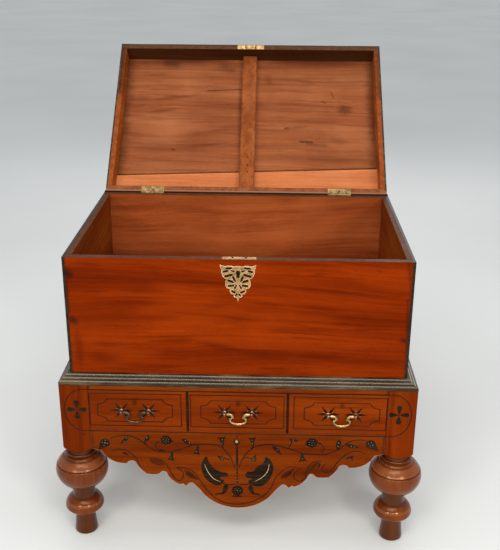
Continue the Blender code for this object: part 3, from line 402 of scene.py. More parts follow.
def leg_profile(block_top):
    """Radius and height pairs of a leg. Where they pass the block's section they are cut to it."""
    past_corner = BLOCK_HALF * sqrt(2) + GROOVE
    points = [(FOOT_FLAT_RADIUS, 0.0)]
    points += arc(points[-1], (FOOT_RADIUS, FOOT_ROUNDING), (FOOT_RADIUS - FOOT_FLAT_RADIUS) / 4, 4)
    for share in (step / 6 for step in range(1, 7)):
        points.append((FOOT_NECK_RADIUS + (FOOT_RADIUS - FOOT_NECK_RADIUS) * (1 - share) ** FOOT_HOLLOW,
                       FOOT_ROUNDING + (FOOT_HEIGHT - FOOT_ROUNDING) * share))
    points += part_ellipse(FOOT_HEIGHT, BALL_MIDDLE, FOOT_NECK_RADIUS, BALL_RADIUS, 9)[1:]
    points += part_ellipse(NECK_FOOT, BALL_MIDDLE, NECK_RADIUS, BALL_RADIUS, 10)[-2::-1]
    points += arc(points[-1], (NECK_RADIUS, BULB_FOOT), -GROOVE, 6)
    points += part_ellipse(BULB_FOOT, BULB_MIDDLE, NECK_RADIUS, BULB_RADIUS, 14)[1:]
    points += bulb_top()
    points += [(THROAT_RADIUS + GROOVE, COLLAR_FOOT - GROOVE / 2), (THROAT_RADIUS + GROOVE, COLLAR_FOOT)]
    points += arc(points[-1], (THROAT_RADIUS, THROAT_FOOT), COLLAR_RADIUS - THROAT_RADIUS - 2 * GROOVE, 8)
    points += arc(points[-1], (THROAT_RADIUS, SHOULDER_FOOT), -GROOVE, 4)
    for share in (step / 8 for step in range(1, 9)):
        points.append((THROAT_RADIUS + (past_corner - THROAT_RADIUS) * share,
                       SHOULDER_FOOT + SHOULDER_HEIGHT * 4 / 3 * share ** SHOULDER_HOLLOW))
    return points + [(past_corner, block_top)]


def block_reach(angle):
    """How far the block's section, a square with rounded corners, reaches at an angle."""
    turn = abs((angle + pi / 4) % (pi / 2) - pi / 4)
    corner = BLOCK_HALF - BLOCK_ARRIS
    if BLOCK_HALF * tan(turn) <= corner:
        return BLOCK_HALF / cos(turn)
    aside = corner * (cos(turn) - sin(turn))
    return corner * (cos(turn) + sin(turn)) + sqrt(BLOCK_ARRIS ** 2 - aside ** 2)


def make_legs(material, block_material):
    angles = [tau * step / LEG_SEGMENTS for step in range(LEG_SEGMENTS)]
    angles += [radians(45 + 90 * corner + step) for corner in range(4) for step in CORNER_STEPS]
    angles.sort()
    for node in LEGS:
        middle = box_middle(node)
        shape = Shape()
        rings = []
        for radius, height in leg_profile(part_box(node)[1].z):
            ring = []
            for angle in angles:
                reach = min(radius, block_reach(angle)) if height > SHOULDER_FOOT else radius
                ring.append((*spun(middle, reach, angle), height))
            rings.append(shape.ring(ring))
        shape.run(rings)
        leg = shape.piece(f"turned_{node}", material, "chest", "leg_wood", sharp=35.0)
        leg.data.materials.append(block_material)
        for face in leg.data.polygons:
            if face.center.z > SHOULDER_FOOT:
                face.material_index = 1
        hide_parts(node)


# Moulding

MOULDING_FASCIA = 0.0075
MOULDING_FILLET = 0.0030
MOULDING_ARRIS = 0.0006
MOULDING_START = 0.0003    # how far off the box its section starts
REEDS = 3
REED_QUIRK = 0.14          # the quirk beside a reed, and the reed's rise, as shares of its width
REED_RISE = 0.27


def make_moulding(material, reed_material, top_material):
    """The reeded moulding round the foot of the box, mitred at the front corners."""
    low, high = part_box("moulding")
    box_low, box_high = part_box("box_front")
    overhang = box_low.y - low.y
    fascia_top = low.z + MOULDING_FASCIA
    profile = [(MOULDING_START, low.z), (overhang - MOULDING_ARRIS, low.z),
               (overhang, low.z + MOULDING_ARRIS), (overhang, fascia_top)]
    width = (overhang - MOULDING_FILLET) / REEDS
    height = (high.z - fascia_top) / REEDS
    quirk = width * REED_QUIRK
    for reed in range(REEDS):
        outer = overhang - reed * width - quirk
        foot = fascia_top + reed * height
        profile += [(outer, foot), (outer, foot + quirk / 2)]
        profile += arc(profile[-1], (outer - width + quirk, foot + height), width * REED_RISE, 10)
    profile += [(MOULDING_START, high.z)]
    shape = Shape()
    rings = []
    for side, y in ((-1, high.y), (-1, box_low.y), (1, box_low.y), (1, high.y)):
        rings.append(shape.ring((side * (box_high.x + out), y - (out if y < 0 else 0.0), z)
                                for out, z in profile))
    shape.run(rings)
    made = shape.piece("reeded_moulding", material, "chest", "ebony", sharp=30.0)
    made.data.materials.append(reed_material)
    made.data.materials.append(top_material)
    for face in made.data.polygons:
        if face.center.z > fascia_top + 0.0001:
            face.material_index = 2 if face.normal.z > 0.98 and face.center.z > high.z - 0.0005 else 1
    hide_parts("moulding")


# Handles

POST_REACH = 0.0105        # how far the pin's ball stands off the drawer's front
POST_BALL = 0.0046
POST_NECK = 0.0032
# Radii and heights of a post: its rivet head, from the head's back, and its collar, from the front
RIVET_HEAD = ((0.0, 0.0), (0.0048, 0.0), (0.0055, 0.0006), (0.0055, 0.0018), (0.0025, 0.0018))
COLLAR = ((0.0025, 0.0003), (0.0058, 0.0003), (0.0058, 0.0010), (0.005336, 0.0017), (0.00406, 0.0022),
          (POST_NECK, 0.0029))
HANDLE_HALF = 0.0375
BAIL_DROP = 0.0300
# The bail from a post inwards and down, in shares of half its span and of its drop, with its radius
BAIL_LINE = (
    (-0.05, 0.0, 0.002), (0.145, 0.0, 0.002), (0.155, 0.0, 0.0034), (0.2, 0.006, 0.0045),
    (0.3, 0.01, 0.0047), (0.43, -0.015, 0.0047), (0.54, -0.09, 0.0046), (0.585, -0.21, 0.0044),
    (0.555, -0.34, 0.0037), (0.47, -0.46, 0.0029), (0.42, -0.58, 0.0026), (0.44, -0.71, 0.0027),
    (0.54, -0.85, 0.003), (0.74, -0.965, 0.0036), (1.0, -1.0, 0.0039),
)
# The cusp and the knop on the bail's curl: across and up in the same shares, with their radius
BAIL_NUBS = (((0.45, -0.30, 0.0030), (0.38, -0.36, 0.0022), (0.30, -0.395, 0.0009), (0.27, -0.40, 0.0003)),
             ((0.50, -0.44, 0.0022), (0.56, -0.47, 0.0030), (0.62, -0.50, 0.0030), (0.66, -0.52, 0.0016)))


def make_handles(post_material, bail_material, dull_material):
    first = acos(POST_NECK / POST_BALL)
    ball = sweep((0.0, POST_REACH), POST_BALL, -first, first + pi / 2, 10)[:-1]
    line = smooth_line([(HANDLE_HALF * (1 - inward), BAIL_DROP * down, radius)
                        for inward, down, radius in BAIL_LINE])
    line += [(-x, z, radius) for x, z, radius in line[-2::-1]]
    nubs = [[(way * HANDLE_HALF * x, BAIL_DROP * z, radius) for x, z, radius in nub]
            for way in (-1, 1) for nub in BAIL_NUBS]
    for name in DRAWERS:
        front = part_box(f"drawer_front_{name}")[0].y
        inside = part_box(f"handle_post_{name}_left")[1].y - front
        profile = [(radius, height - inside) for radius, height in RIVET_HEAD] + list(COLLAR) + ball
        profile.append((0.0, POST_REACH + POST_BALL))
        places = post_places(name)
        for side, place in zip(SIDES, places):
            shape = Shape()
            shape.turned(profile, Vector((place.x, front, place.z)), 24)
            post = shape.piece(f"turned_post_{name}_{side}", post_material, f"drawer_{name}", "brass")
            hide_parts(f"handle_post_{name}_{side}")
        middle = sum(places, Vector()) / 2
        shape = Shape()
        for bar in (line, *nubs):
            shape.tube([(middle.x + x, middle.z + z, radius) for x, z, radius in bar], front - POST_REACH,
                       16 if bar is line else 12)
        bail = shape.piece(f"swan_bail_{name}", dull_material if name == "left" else bail_material,
                           f"handle_{name}", "brass", sharp=60.0)
        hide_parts(f"handle_bail_{name}")


# Escutcheon: the right half's outline, its piercings and its pins, as the photograph shows them

PLATE_AXIS = 237.97
PLATE_OUTLINE = (
    (237.97, 266.28), (242.95, 266.86), (244.48, 266.09), (248.3, 266.1), (251.4, 266.9), (256.2, 265.1),
    (255.6, 268), (254.6, 269.2), (254.6, 273), (253.3, 276.4), (251, 278.4), (248.9, 279.3),
    (250.4, 281.6), (250.5, 285.2), (248.9, 288), (245.4, 288.8), (246.3, 290.6), (244.9, 293.6),
    (241.8, 294.2), (242.4, 295.9), (241.2, 297), (239, 297.5), (237.97, 301),
)
# A piercing's start, end and half width
PLATE_HOLES = (
    ((245, 268.1), (249.8, 268.7), 0.75), ((248.8, 270.9), (252.1, 271.9), 0.8),
    ((241.8, 271.6), (244.3, 270.6), 0.6), ((244.5, 274.8), (250.4, 276.4), 0.9),
    ((242.7, 277), (241.1, 280.8), 0.8), ((243.2, 281.8), (247.4, 280.5), 0.9),
    ((242.1, 285.3), (247.2, 286), 0.8), ((239.9, 285.3), (241.1, 287.8), 0.7),
    ((241.1, 292.3), (243.9, 291), 0.75), ((239, 293.9), (240.2, 295.5), 0.6),
)
PLATE_PINS = ((246.6, 271.7), (237.97, 290.6))
PIN_HEAD = ((0.0, 0.0004), (0.0013, 0.0004), (0.0013, 0.0014), (0.0009, 0.0019), (0.0, 0.0021))
PLATE_THICK = 0.0012
PLATE_BEAD = 0.0013        # half width of the raised rim
PLATE_OPEN = 1.75          # how much wider a piercing is than the dark seen in it
KEYHOLE_HEIGHT = 0.8248    # the plate's keyhole, down from its round head's middle
KEYHOLE_RADIUS = 0.0064
KEYHOLE_HALF = 0.0042
KEYHOLE_DROP = 0.0142
DIRT_AND_SHADOW_EDGE = 0.0013         # half width of the line of dirt and painted shadow round the plate
DIRT_AND_SHADE_OPEN = 0.62           # the dark layer's keyhole against the plate's: between the two lies painted shade in the keyhole
DIRT_AND_SHADE_LIFTS = (-0.0002, -0.00008)
DIRT_AND_SHADOW_EDGE_LIFTS = (-0.00026, -0.00022)
HOLE_BEAD = (0.6, 1.8)     # a piercing's rim against the plate's half width and thickness


def make_escutcheon(material, rim_material, dirt_and_shade_material):
    """The pierced plate round the keyhole, alike at its left and right, with raised rims."""
    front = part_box("escutcheon")[1].y
    centre = box_middle("escutcheon").x
    plane = front_plane(front)

    def mirrored(pixel, way):
        x, z = plane.seen(pixel)
        return (centre + way * (x - plane.seen((PLATE_AXIS, pixel[1]))[0]), z)

    outline = [mirrored(pixel, 1) for pixel in PLATE_OUTLINE]
    outline += [mirrored(pixel, -1) for pixel in PLATE_OUTLINE[-2:0:-1]]
    first = acos(KEYHOLE_HALF / KEYHOLE_RADIUS) - pi / 2
    keyhole = sweep((centre, KEYHOLE_HEIGHT), KEYHOLE_RADIUS, first, pi - 2 * first, 14)
    keyhole += [(centre + way * KEYHOLE_HALF, KEYHOLE_HEIGHT - KEYHOLE_DROP) for way in (-1, 1)]
    holes = [slot_outline(mirrored(start, way), mirrored(end, way), half * PLATE_OPEN * FRONT_PIXEL)
             for way in (1, -1) for start, end, half in PLATE_HOLES]
    plate, rims, darkening = Shape(), Shape(), Shape()
    plate.pierced(outline, [keyhole] + holes, plane, 0.0, PLATE_THICK)
    rims.bead(outline, plane, PLATE_BEAD, 2 * PLATE_THICK, PLATE_THICK / 2)
    for hole in holes:
        rims.bead(hole, plane, PLATE_BEAD * HOLE_BEAD[0], PLATE_THICK * HOLE_BEAD[1], PLATE_THICK / 2)
    for pixel in PLATE_PINS:
        for way in (1, -1) if pixel[0] > PLATE_AXIS + 1 else (1,):
            x, z = mirrored(pixel, way)
            rims.turned(PIN_HEAD, Vector((x, front, z)), 12)
    # A dark layer behind the plate: dirt under its piercings, painted shade in its keyhole, and a painted
    # shadow round its edge
    core = [(centre + DIRT_AND_SHADE_OPEN * (x - centre), KEYHOLE_HEIGHT + DIRT_AND_SHADE_OPEN * (z - KEYHOLE_HEIGHT))
            for x, z in keyhole]
    darkening.pierced(outline, [core], plane, *DIRT_AND_SHADE_LIFTS)
    darkening.ribbon(outline, DIRT_AND_SHADOW_EDGE, plane, *DIRT_AND_SHADOW_EDGE_LIFTS, closed=True)
    made = plate.piece("pierced_escutcheon", material, "chest", "brass", sharp=35.0)
    rims.piece("escutcheon_rims", rim_material, "chest", "brass", sharp=50.0)
    darkening.piece("escutcheon_dirt_and_shade", dirt_and_shade_material, "chest", "ebony")
    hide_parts("escutcheon")


# Hinge screws, and the dark bead along the back where the lid meets the box, a painted shade for the joint

SCREW_RADIUS = 0.0040
SCREW_INSET = 0.0120       # from the leaf's edge
SCREW_SUNK = 0.0004
SCREW_RISE = 0.0006
SCREW_SLOT = 0.0007        # half width of its slot
KNUCKLE_REACH = 0.012      # how far the knuckles go on the leaf, which its face doesn't count
SLOT_TURNS = {"left": 62.0, "right": 128.0}
BACK_BEAD_REACH = 0.0041
BACK_BEAD_HEIGHT = 0.0060
BACK_BEAD_GAP = 0.001      # clear of a hinge


def make_hinge_screws(material):
    """A slotted screw in the middle of each hinge's lid leaf."""
    ahead, out = lid_axes()
    open_angle = acos(SCREW_SLOT / SCREW_RADIUS)
    for side, degrees in SLOT_TURNS.items():
        node = f"hinge_leaf_lid_{side}"
        past_knuckles = KNUCKLE_REACH - furthest(node, -ahead)
        face = max(corner.co.dot(out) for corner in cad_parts[node].data.vertices
                   if corner.co.dot(ahead) > past_knuckles)
        reach = furthest(node, ahead) - SCREW_INSET
        plane = Plane(Vector((box_middle(node).x, 0.0, 0.0)) + ahead * reach + out * face, (1, 0, 0), ahead)
        shape = Shape()
        for way in (1, -1):
            first = radians(degrees) + way * pi / 2 - open_angle
            half = sweep((0.0, 0.0), SCREW_RADIUS, first, 2 * open_angle, 12)
            shape.slab(half, plane, -SCREW_SUNK, SCREW_RISE)
        shape.piece(f"hinge_screw_{side}", material, "lid", "brass", sharp=35.0)


def make_back_shade_beads(material):
    """Ebony beads along the lid's and the box's back edge. They close the joint between the hinges with
    dark wood, a painted shade where the joint lies in shadow.
    """
    low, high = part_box("box_back")
    ahead, out = lid_axes()
    stops = [low.x]
    for side in SIDES:
        leaf_low, leaf_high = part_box(f"hinge_leaf_box_{side}")
        stops += [leaf_low.x - BACK_BEAD_GAP, leaf_high.x + BACK_BEAD_GAP]
    stops.append(high.x)
    lid_edge = out * furthest("lid_rail_back", out) - ahead * furthest("lid_rail_back", -ahead)
    reach, height = BACK_BEAD_REACH, BACK_BEAD_HEIGHT
    section = [(-0.0002, 0.0), (reach - 0.0003, 0.0), (reach, -0.0003), (reach, -height * 0.45),
               (reach * 0.80, -height * 0.75), (reach * 0.45, -height * 0.95), (-0.0002, -height)]
    for name, body, edge, backwards, upwards in (
            ("box_back_shade_bead", "chest", Vector((0.0, high.y, high.z)), -FRONT, Vector((0.0, 0.0, 1.0))),
            ("lid_back_shade_bead", "lid", lid_edge, -ahead, out)):
        shape = Shape()
        for ends in zip(stops[::2], stops[1::2]):
            shape.run([shape.ring(edge + Vector((x, 0.0, 0.0)) + backwards * aside + upwards * up
                                  for aside, up in section) for x in ends])
        shape.piece(name, material, body, "ebony", sharp=40.0)


# Inlay: what each motif is, then where the photograph shows it

SUNK = -0.0003             # how deep an inlay starts, and how proud its kinds stand
SHADE_TOP = 0.00006
STEM_TOP = 0.00012
LEAF_TOP = 0.00015
BONE_TOP = 0.00022
OVER = 0.00002             # how much prouder ebony stands that is laid over ebony
STEM_HALF = 0.00160
LINE_HALF = 0.00130        # straight stringing
DOT = 0.00095
FEATHER = 0.9              # depth of a crescent's notches, in pixels
CRESCENT_LINE = (0.0004, 0.00055)   # half width of its pale line at the ends, and what the middle has more
# Shares of a rosette's radius: where a petal's head, root and dot lie, the head's radius and the eye's
PETAL_PLACES = (0.66, 0.12, 0.50)
PETAL_WIDE = 0.36
ROSETTE_EYE = 0.26
# The outlines of a leaf and of a bell, as shares of their length and of their half width
LEAF_FORM = [(step / 8, sin(pi * (step / 8) ** 0.8) ** 0.8) for step in range(9)]
BELL_FORM = ((0.0, 0.22), (0.30, 0.42), (0.50, 0.46), (0.72, 0.60), (0.88, 1.0), (1.0, 0.92), (0.94, 0.40))


class Inlay(Shape):
    """Ornament let into a front, with how proud its leaves and its strings stand."""

    def __init__(self, front, leaf_top, string_top):
        super().__init__()
        self.plane = front_plane(front)
        self.leaf_top = leaf_top
        self.string_top = string_top

    def seen(self, pixels):
        return [self.plane.seen(pixel) for pixel in pixels]

    def cut(self, outline, lift=0.0):
        self.slab(outline, self.plane, SUNK, self.leaf_top + lift)

    def string(self, line, half, closed=False, lift=0.0):
        self.ribbon(line, half, self.plane, SUNK, self.string_top + lift, closed)

    def stem(self, pixels, half):
        """A stem through pixels, thin at its ends."""
        line = smooth_line(self.seen(pixels))
        last = len(line) - 1
        self.string(line, [half * (0.5 + 0.5 * min(1.0, 6 * index / last, 6 * (last - index) / last))
                           for index in range(last + 1)])

    def leaf(self, base, tip, half, bend):
        """A pointed leaf between two pixels, with its belly to the left where bend is more than nought."""
        base, tip = self.seen((base, tip))
        ahead, length = heading(base, tip)
        left, right = ([moved(base, ahead, length * share,
                              PIXEL * (bend * sin(pi * share) + way * half * swell))
                        for share, swell in LEAF_FORM] for way in (1, -1))
        self.cut(left + right[-2:0:-1])

    def bell(self, top, foot, half):
        """A bud that hangs or stands on a stem: narrow at its top, spread at its foot."""
        top, foot = self.seen((top, foot))
        ahead, length = heading(top, foot)
        self.cut([moved(top, ahead, length * share, way * width * half * PIXEL)
                  for way in (1, -1) for share, width in BELL_FORM[::way]])


def ebony_and_bone(front):
    """The two inlays of a front."""
    return Inlay(front, LEAF_TOP, STEM_TOP), Inlay(front, BONE_TOP, BONE_TOP)


def rosette(dark, pale, pixel, radius, petals):
    """A flower seen from in front: petals round an eye, with a pale dot in every petal's root."""
    middle = dark.plane.seen(pixel)
    radius *= PIXEL
    for petal in range(petals):
        aim = tau * (petal + 0.25) / petals
        head, root, dot = (spun(middle, radius * share, aim) for share in PETAL_PLACES)
        dark.cut(drop(head, radius * PETAL_WIDE, root, 9))
        pale.cut(circle(dot, DOT * 0.72, 8))
    dark.cut(circle(middle, radius * ROSETTE_EYE, 10), OVER)
    pale.cut(circle(middle, DOT * 0.8, 8))


def crescent(dark, pale, outer, inner, line):
    """A feathered half moon between two lines of pixels, with a pale line inside it."""
    outline = smooth_line(dark.seen(outer), 5)
    feathers = smooth_line(dark.seen(inner), 12)
    for index, point in enumerate(feathers[1:-1], 1):
        ahead = heading(feathers[index - 1], feathers[index + 1])[0]
        outline.append(moved(point, ahead, 0.0, FEATHER * PIXEL * abs(sin(pi * index / 5))))
    dark.cut(outline)
    drawn = smooth_line(pale.seen(line), 5)
    thin, more = CRESCENT_LINE
    pale.string(drawn, [thin + more * sin(pi * index / (len(drawn) - 1)) for index in range(len(drawn))])


VINES = {
    "left_vine": (
        (109.7, 438.8), (117.6, 436.1), (124.5, 435.2), (131.4, 436.4), (138.4, 439.3), (144.3, 443.3),
        (149.2, 447.2), (155.2, 450.5), (162.1, 451.9), (171, 451.7), (178.9, 449.9), (186.8, 447.2),
        (193.7, 444.8), (201.6, 444.1), (211.5, 444.3), (218.4, 445.6), (223.3, 448.7), (227.3, 453.2),
        (230.8, 457.6), (233.2, 463.5), (235.6, 468.5)),
    "right_vine": (
        (238.8, 468.5), (240.4, 463.5), (243.2, 457.7), (248.3, 451.5), (254.4, 446.9), (261.5, 445.2),
        (269.7, 444.4), (278.9, 446.2), (288.1, 448.5), (296.2, 451.3), (304.4, 453.6), (314.6, 454.6),
        (324.8, 454.4), (333, 452), (340.1, 448.5), (345.2, 444.4), (351.3, 441.3), (358.5, 440),
        (366.6, 440.8)),
    "left_tendril": ((160.1, 440.8), (156.6, 442.3), (155.4, 445.8), (157.6, 449.2), (161.1, 450.5)),
    "right_tendril": ((320.7, 443.9), (323.8, 447), (323.8, 450), (321.2, 453)),
    "left_comma": ((144.9, 440), (144.6, 442), (146.5, 444.8)),
    "right_bell_stem": ((252.8, 445), (251.8, 449.8)),
    "middle_bar_stem": ((291.5, 440.8), (291.3, 443.5), (288.4, 448)),
    "right_bud_stem": ((338.3, 446.5), (337, 450.6)),
    "left_top_stem": ((221.9, 443.5), (223.3, 448.2)),
    "left_small_join": ((224.5, 458.7), (230.2, 459.4)),
    "right_small_join": ((250.6, 458.4), (246.2, 457.4), (243.6, 458.6)),
    "left_branch": ((221.4, 482.6), (228, 484.6), (236.2, 484)),
    "right_branch": ((250.9, 482.6), (246, 484.6), (238.4, 484)),
    "left_scroll": (
        (111.7, 450.7), (117.6, 449.2), (124.5, 449.7), (130.5, 453.2), (136.4, 458.6), (139.4, 464.5),
        (143.3, 470.5)),
    "left_acanthus": (
        (149.2, 458.6), (154.2, 457.8), (160.1, 459.6), (165, 462.2), (168.4, 467.5), (172.2, 474.6),
        (175.9, 479.3), (179.9, 480.3), (183, 477.2), (182.9, 472.4), (179.9, 469.4), (177, 467.6),
        (183.8, 467.9), (190.7, 470), (195.7, 473.9), (199.6, 479.3), (203.6, 485.3), (208.5, 491.2),
        (214.4, 497.1), (222.4, 501.6), (230.3, 503.6), (239.9, 504), (250.4, 502), (260.4, 497.8),
        (267.8, 491.8), (272.4, 485.2), (275, 479), (280.9, 471.8), (288.1, 467.3), (296.2, 466.8)),
    "right_loops": (
        (301.3, 468.4), (296.2, 470.9), (293.7, 476), (296.2, 480.1), (301.3, 481.1), (305.4, 477),
        (305.9, 471.9), (308.5, 466.8), (313.6, 462.2), (321.7, 460.7)),
    "right_scroll": (
        (326.6, 463.4), (322.9, 466.6), (322.9, 470.9), (326.8, 472.4), (331.9, 469.9), (337, 462.8),
        (343.2, 456.6), (349.3, 452.6), (357.4, 451.5), (365.6, 454.1)),
}
THIN_VINES = ("left_tendril", "right_tendril", "left_scroll", "left_acanthus", "right_loops",
              "right_scroll")
THIN = 0.92                # how thin they are against the others
# A leaf's base, tip, half width and bend
LEAVES = {
    "rosette_right_point": ((318, 442.6), (322, 444.4), 1.1, 0),
    "left_bud": ((128.6, 436.8), (120.6, 443.8), 1.9, 0),
    "left_comma": ((148.8, 435.2), (144.6, 441.6), 2.2, 0.7),
    "left_rosette_point": ((169.5, 440.6), (174.2, 441.8), 1.2, 0),
    "left_nod": ((181.6, 438.8), (191.8, 444.8), 2.1, -0.3),
    "left_spur": ((158.4, 449.6), (165.4, 450.6), 1.1, -0.2),
    "left_small_point": ((219.8, 457.6), (217.6, 455.6), 1, 0),
    "left_scroll_leaf": ((122.2, 452.4), (129.4, 455.4), 1.2, 0.3),
    "left_hanging": ((226.4, 483.6), (222.6, 494.4), 2.6, 0.9),
    "left_hanging_tail": ((225, 493.4), (214.4, 494.8), 1, -0.6),
    "right_hanging": ((250.2, 484.4), (253.6, 494.4), 2.6, -0.9),
    "right_hanging_tail": ((251.4, 493.2), (261.4, 495.6), 1, 0.6),
    "middle_bar": ((288.8, 439.4), (298.8, 441.2), 1.4, 0),
    "right_low": ((272, 445.6), (281.8, 455.2), 2, 0.2),
    "right_rosette_point": ((308, 443.6), (304.6, 444.6), 1.2, 0),
    "right_small_point": ((254.6, 457.6), (255.8, 455), 1, 0),
    "right_bud": ((339.4, 439.4), (337, 450.2), 2.6, 0.3),
    "right_spindle": ((345, 444.6), (359.4, 447.8), 2.1, 0),
    "right_arrow": ((345.6, 458.8), (354.6, 456), 1.2, 0),
    "right_arrow_barb": ((351.6, 456.8), (352.4, 461), 0.9, 0),
    "left_accent": ((186.8, 472.4), (195, 477.2), 1.1, -0.3),
    "right_accent": ((284, 476.4), (293.4, 470.6), 1.1, -0.3),
    "right_comma": ((320, 463.2), (317.2, 468.2), 1.1, 0.5),
}
# A bell's top, foot and half width
BELLS = {
    "left_middle": ((172.4, 452), (171, 460.4), 3.2),
    "left_low": ((198.2, 445.4), (196.4, 454.6), 3.4),
    "left_top": ((222.8, 446), (221.6, 436.6), 4.2),
    "right_middle": ((301.8, 453.4), (303, 461.6), 4.2),
    "right_top": ((253, 446), (252.2, 437.6), 3.8),
}
# A round end leaf's middle, radius and tail
ROUND_LEAVES = (((105, 442.7), 4.9, (98.4, 449.8)), ((370.7, 444.6), 5, (378.6, 451.4)))
# A rosette's middle, radius and petals
ROSETTES = {
    "left": ((166, 440), 5.6, 7),
    "right": ((312, 442.9), 6, 7),
    "left_small": ((221.9, 458.2), 3.1, 5),
    "right_small": ((253.7, 459.2), 3.1, 5),
}
# A crescent's outer line, its feathered inner line and the pale line in it
CRESCENTS = {
    "left": (
        ((205.6, 456.4), (201.6, 463.5), (202.2, 471.4), (206.5, 479.3), (213.4, 484.3), (219.4, 485),
         (223.3, 483.3)),
        ((223.3, 483.3), (224.8, 480.4), (220.6, 477.6), (228.2, 476.4), (227, 472.4), (221.6, 471.6),
         (215.4, 468.6), (210.5, 463.2), (207.6, 457.6)),
        ((204.6, 464.5), (208, 471.9), (213.5, 478.4), (220.4, 481.8))),
    "right": (
        ((266.2, 456.8), (271.7, 461.8), (273.3, 469.9), (269.7, 479.1), (263.5, 485.2), (256.4, 486.6),
         (250.3, 484.2)),
        ((250.3, 484.2), (249, 481), (253.6, 478.6), (246.2, 476.6), (247.6, 472.4), (253.2, 471.8),
         (257.4, 467.2), (263.2, 463.8), (266.2, 456.8)),
        ((269.2, 463.8), (267.7, 470.9), (262.6, 477), (254.4, 481.8))),
}
BONE_DOTS = {
    "left_bud": ((124.2, 441.2), (126.6, 438.2)),
    "left_nod": ((185.4, 440.4), (189.2, 442.8)),
    "left_middle": ((171.2, 457.8),),
    "left_low": ((196.5, 451.4),),
    "left_top": ((222.4, 439.6), (221.8, 443.8)),
    "left_comma": ((146.6, 437.6),),
    "left_end": ((102.4, 442.4), (105.4, 440.2), (104, 445.2), (107.2, 443.4), (105, 442.8)),
    "right_top": ((252, 440), (252.6, 443.6)),
    "middle_bar": ((293.2, 440.2),),
    "right_low": ((277, 450.2),),
    "right_bud": ((338.6, 442.8), (338, 446.4)),
    "right_spindle": ((351.2, 446.2), (354.4, 446.9)),
    "right_middle": ((302.4, 458.8),),
    "right_end": ((368.4, 443.6), (371.4, 442.4), (372.8, 445.2), (370.2, 446.8)),
}
# Dim, scorched shading of the acanthus, as outlines
SHADING = {
    "left_acanthus": (
        (149.4, 459), (155.2, 458.6), (161.1, 460.6), (165, 464.5), (160.1, 465.5), (155.2, 464.5),
        (151.2, 462.5)),
    "left_bowl": (
        (184.3, 470.4), (190.7, 471.8), (196.2, 476.4), (198.2, 479.8), (190.2, 477.9), (186.3, 475.4)),
    "right_bowl": (
        (280.9, 478.1), (283.5, 474.1), (289.4, 470), (295.4, 468.6), (291.4, 473.1), (287.5, 477.1)),
    "right_scroll": (
        (306.2, 474), (309.6, 467.6), (314.2, 463.4), (319.6, 461.8), (315.8, 466.8), (311.6, 470.8)),
}

# The middle: a stem in a pot, crowned by a spear, and dotted below
STEM_FOOT = (237.3, 486.0)
STEM_HEAD = (237.0, 434.6)
STEM_THICK = ((237.0, 446.7), (237.1, 465.0))
SPEAR = ((236.6, 438.0), (233.1, 442.4), (236.6, 446.4), (240.2, 442.4))
SPEAR_EYE = (236.6, 441.9)
SPEAR_EYE_RADIUS = 2.9
SPEAR_DROP = (1.3, 3.0)    # the radius and the height of the bone drop in it
BEAD_ENDS = ((237.2, 470.0), (237.3, 482.0))
BEADS = 5
BEAD_RADIUS = 1.05
BEAD_DOT_RISE = 1.45
POT = ((237.4, 490.4), 6.2, 8)   # a rosette
POT_FOOT = (237.4, 496.2)
POT_FOOT_FORM = ((-5.4, -0.9), (5.4, -0.9), (4.0, 0.9), (-4.0, 0.9))


def make_apron_inlay(ebony, bone, scorched):
    """The vine of ebony and bone on the apron, each motif where the photograph shows it."""
    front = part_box("apron_front")[0].y
    dark, pale = ebony_and_bone(front)
    dim = Inlay(front, SHADE_TOP, SHADE_TOP)
    for name, pixels in VINES.items():
        dark.stem(pixels, STEM_HALF * (THIN if name in THIN_VINES else 1.0))
    for leaf in LEAVES.values():
        dark.leaf(*leaf)
    for middle, radius, tail in ROUND_LEAVES:
        dark.cut(drop(dark.plane.seen(middle), radius * PIXEL, dark.plane.seen(tail), 20))
    for bell in BELLS.values():
        dark.bell(*bell)
    for flower in ROSETTES.values():
        rosette(dark, pale, *flower)
    for lines in CRESCENTS.values():
        crescent(dark, pale, *lines)
    for pixels in BONE_DOTS.values():
        for middle in pale.seen(pixels):
            pale.cut(circle(middle, DOT, 10))
    for outline in SHADING.values():
        dim.cut(smooth_line(dim.seen(outline), 3, closed=True))

    dark.stem((STEM_HEAD, STEM_FOOT), STEM_HALF * 0.8)
    dark.string(dark.seen(STEM_THICK), STEM_HALF * 1.9, lift=OVER)
    dark.cut(dark.seen(SPEAR))
    eye = dark.plane.seen(SPEAR_EYE)
    dark.cut(circle(eye, SPEAR_EYE_RADIUS * PIXEL, 12), OVER)
    pale.cut(drop(eye, SPEAR_DROP[0] * PIXEL, (eye[0], eye[1] + SPEAR_DROP[1] * PIXEL), 10))
    first, last = dark.seen(BEAD_ENDS)
    down, length = heading(first, last)
    for bead in range(BEADS):
        place = moved(first, down, length * bead / (BEADS - 1))
        dark.cut(circle(place, BEAD_RADIUS * PIXEL, 10))
        if bead:
            pale.cut(circle((place[0], place[1] + BEAD_DOT_RISE * PIXEL), DOT * 0.6, 8))
    rosette(dark, pale, *POT)
    foot = dark.plane.seen(POT_FOOT)
    dark.cut([(foot[0] + x * PIXEL, foot[1] + z * PIXEL) for x, z in POT_FOOT_FORM])
    dark.piece("apron_inlay_ebony", ebony, "chest", "ebony")
    pale.piece("apron_inlay_bone", bone, "chest", "ebony")
    dim.piece("apron_inlay_shading", scorched, "chest", "stand_wood")


# Stringing and stars

STADIUM_TOP = 0.4874
STADIUM_FOOT = 0.3574
STADIUM_ENDS = ((-0.4240, -0.4765), (0.4240, 0.4752))   # where each round end starts, and how far it goes
PETAL_REACHES = (0.0272, 0.0292)   # sideways, and up and down
PETAL_HEAD = 0.0072
ORNAMENTS = ((-0.4424, 0.4241), (0.4411, 0.4259))
ORNAMENT_EYE = 0.0016
ORNAMENT_PLUG = (-0.4275, 0.3463)
PLUG_RING = (0.0034, 0.0006)   # the radius of the ring round it, and half the line's width
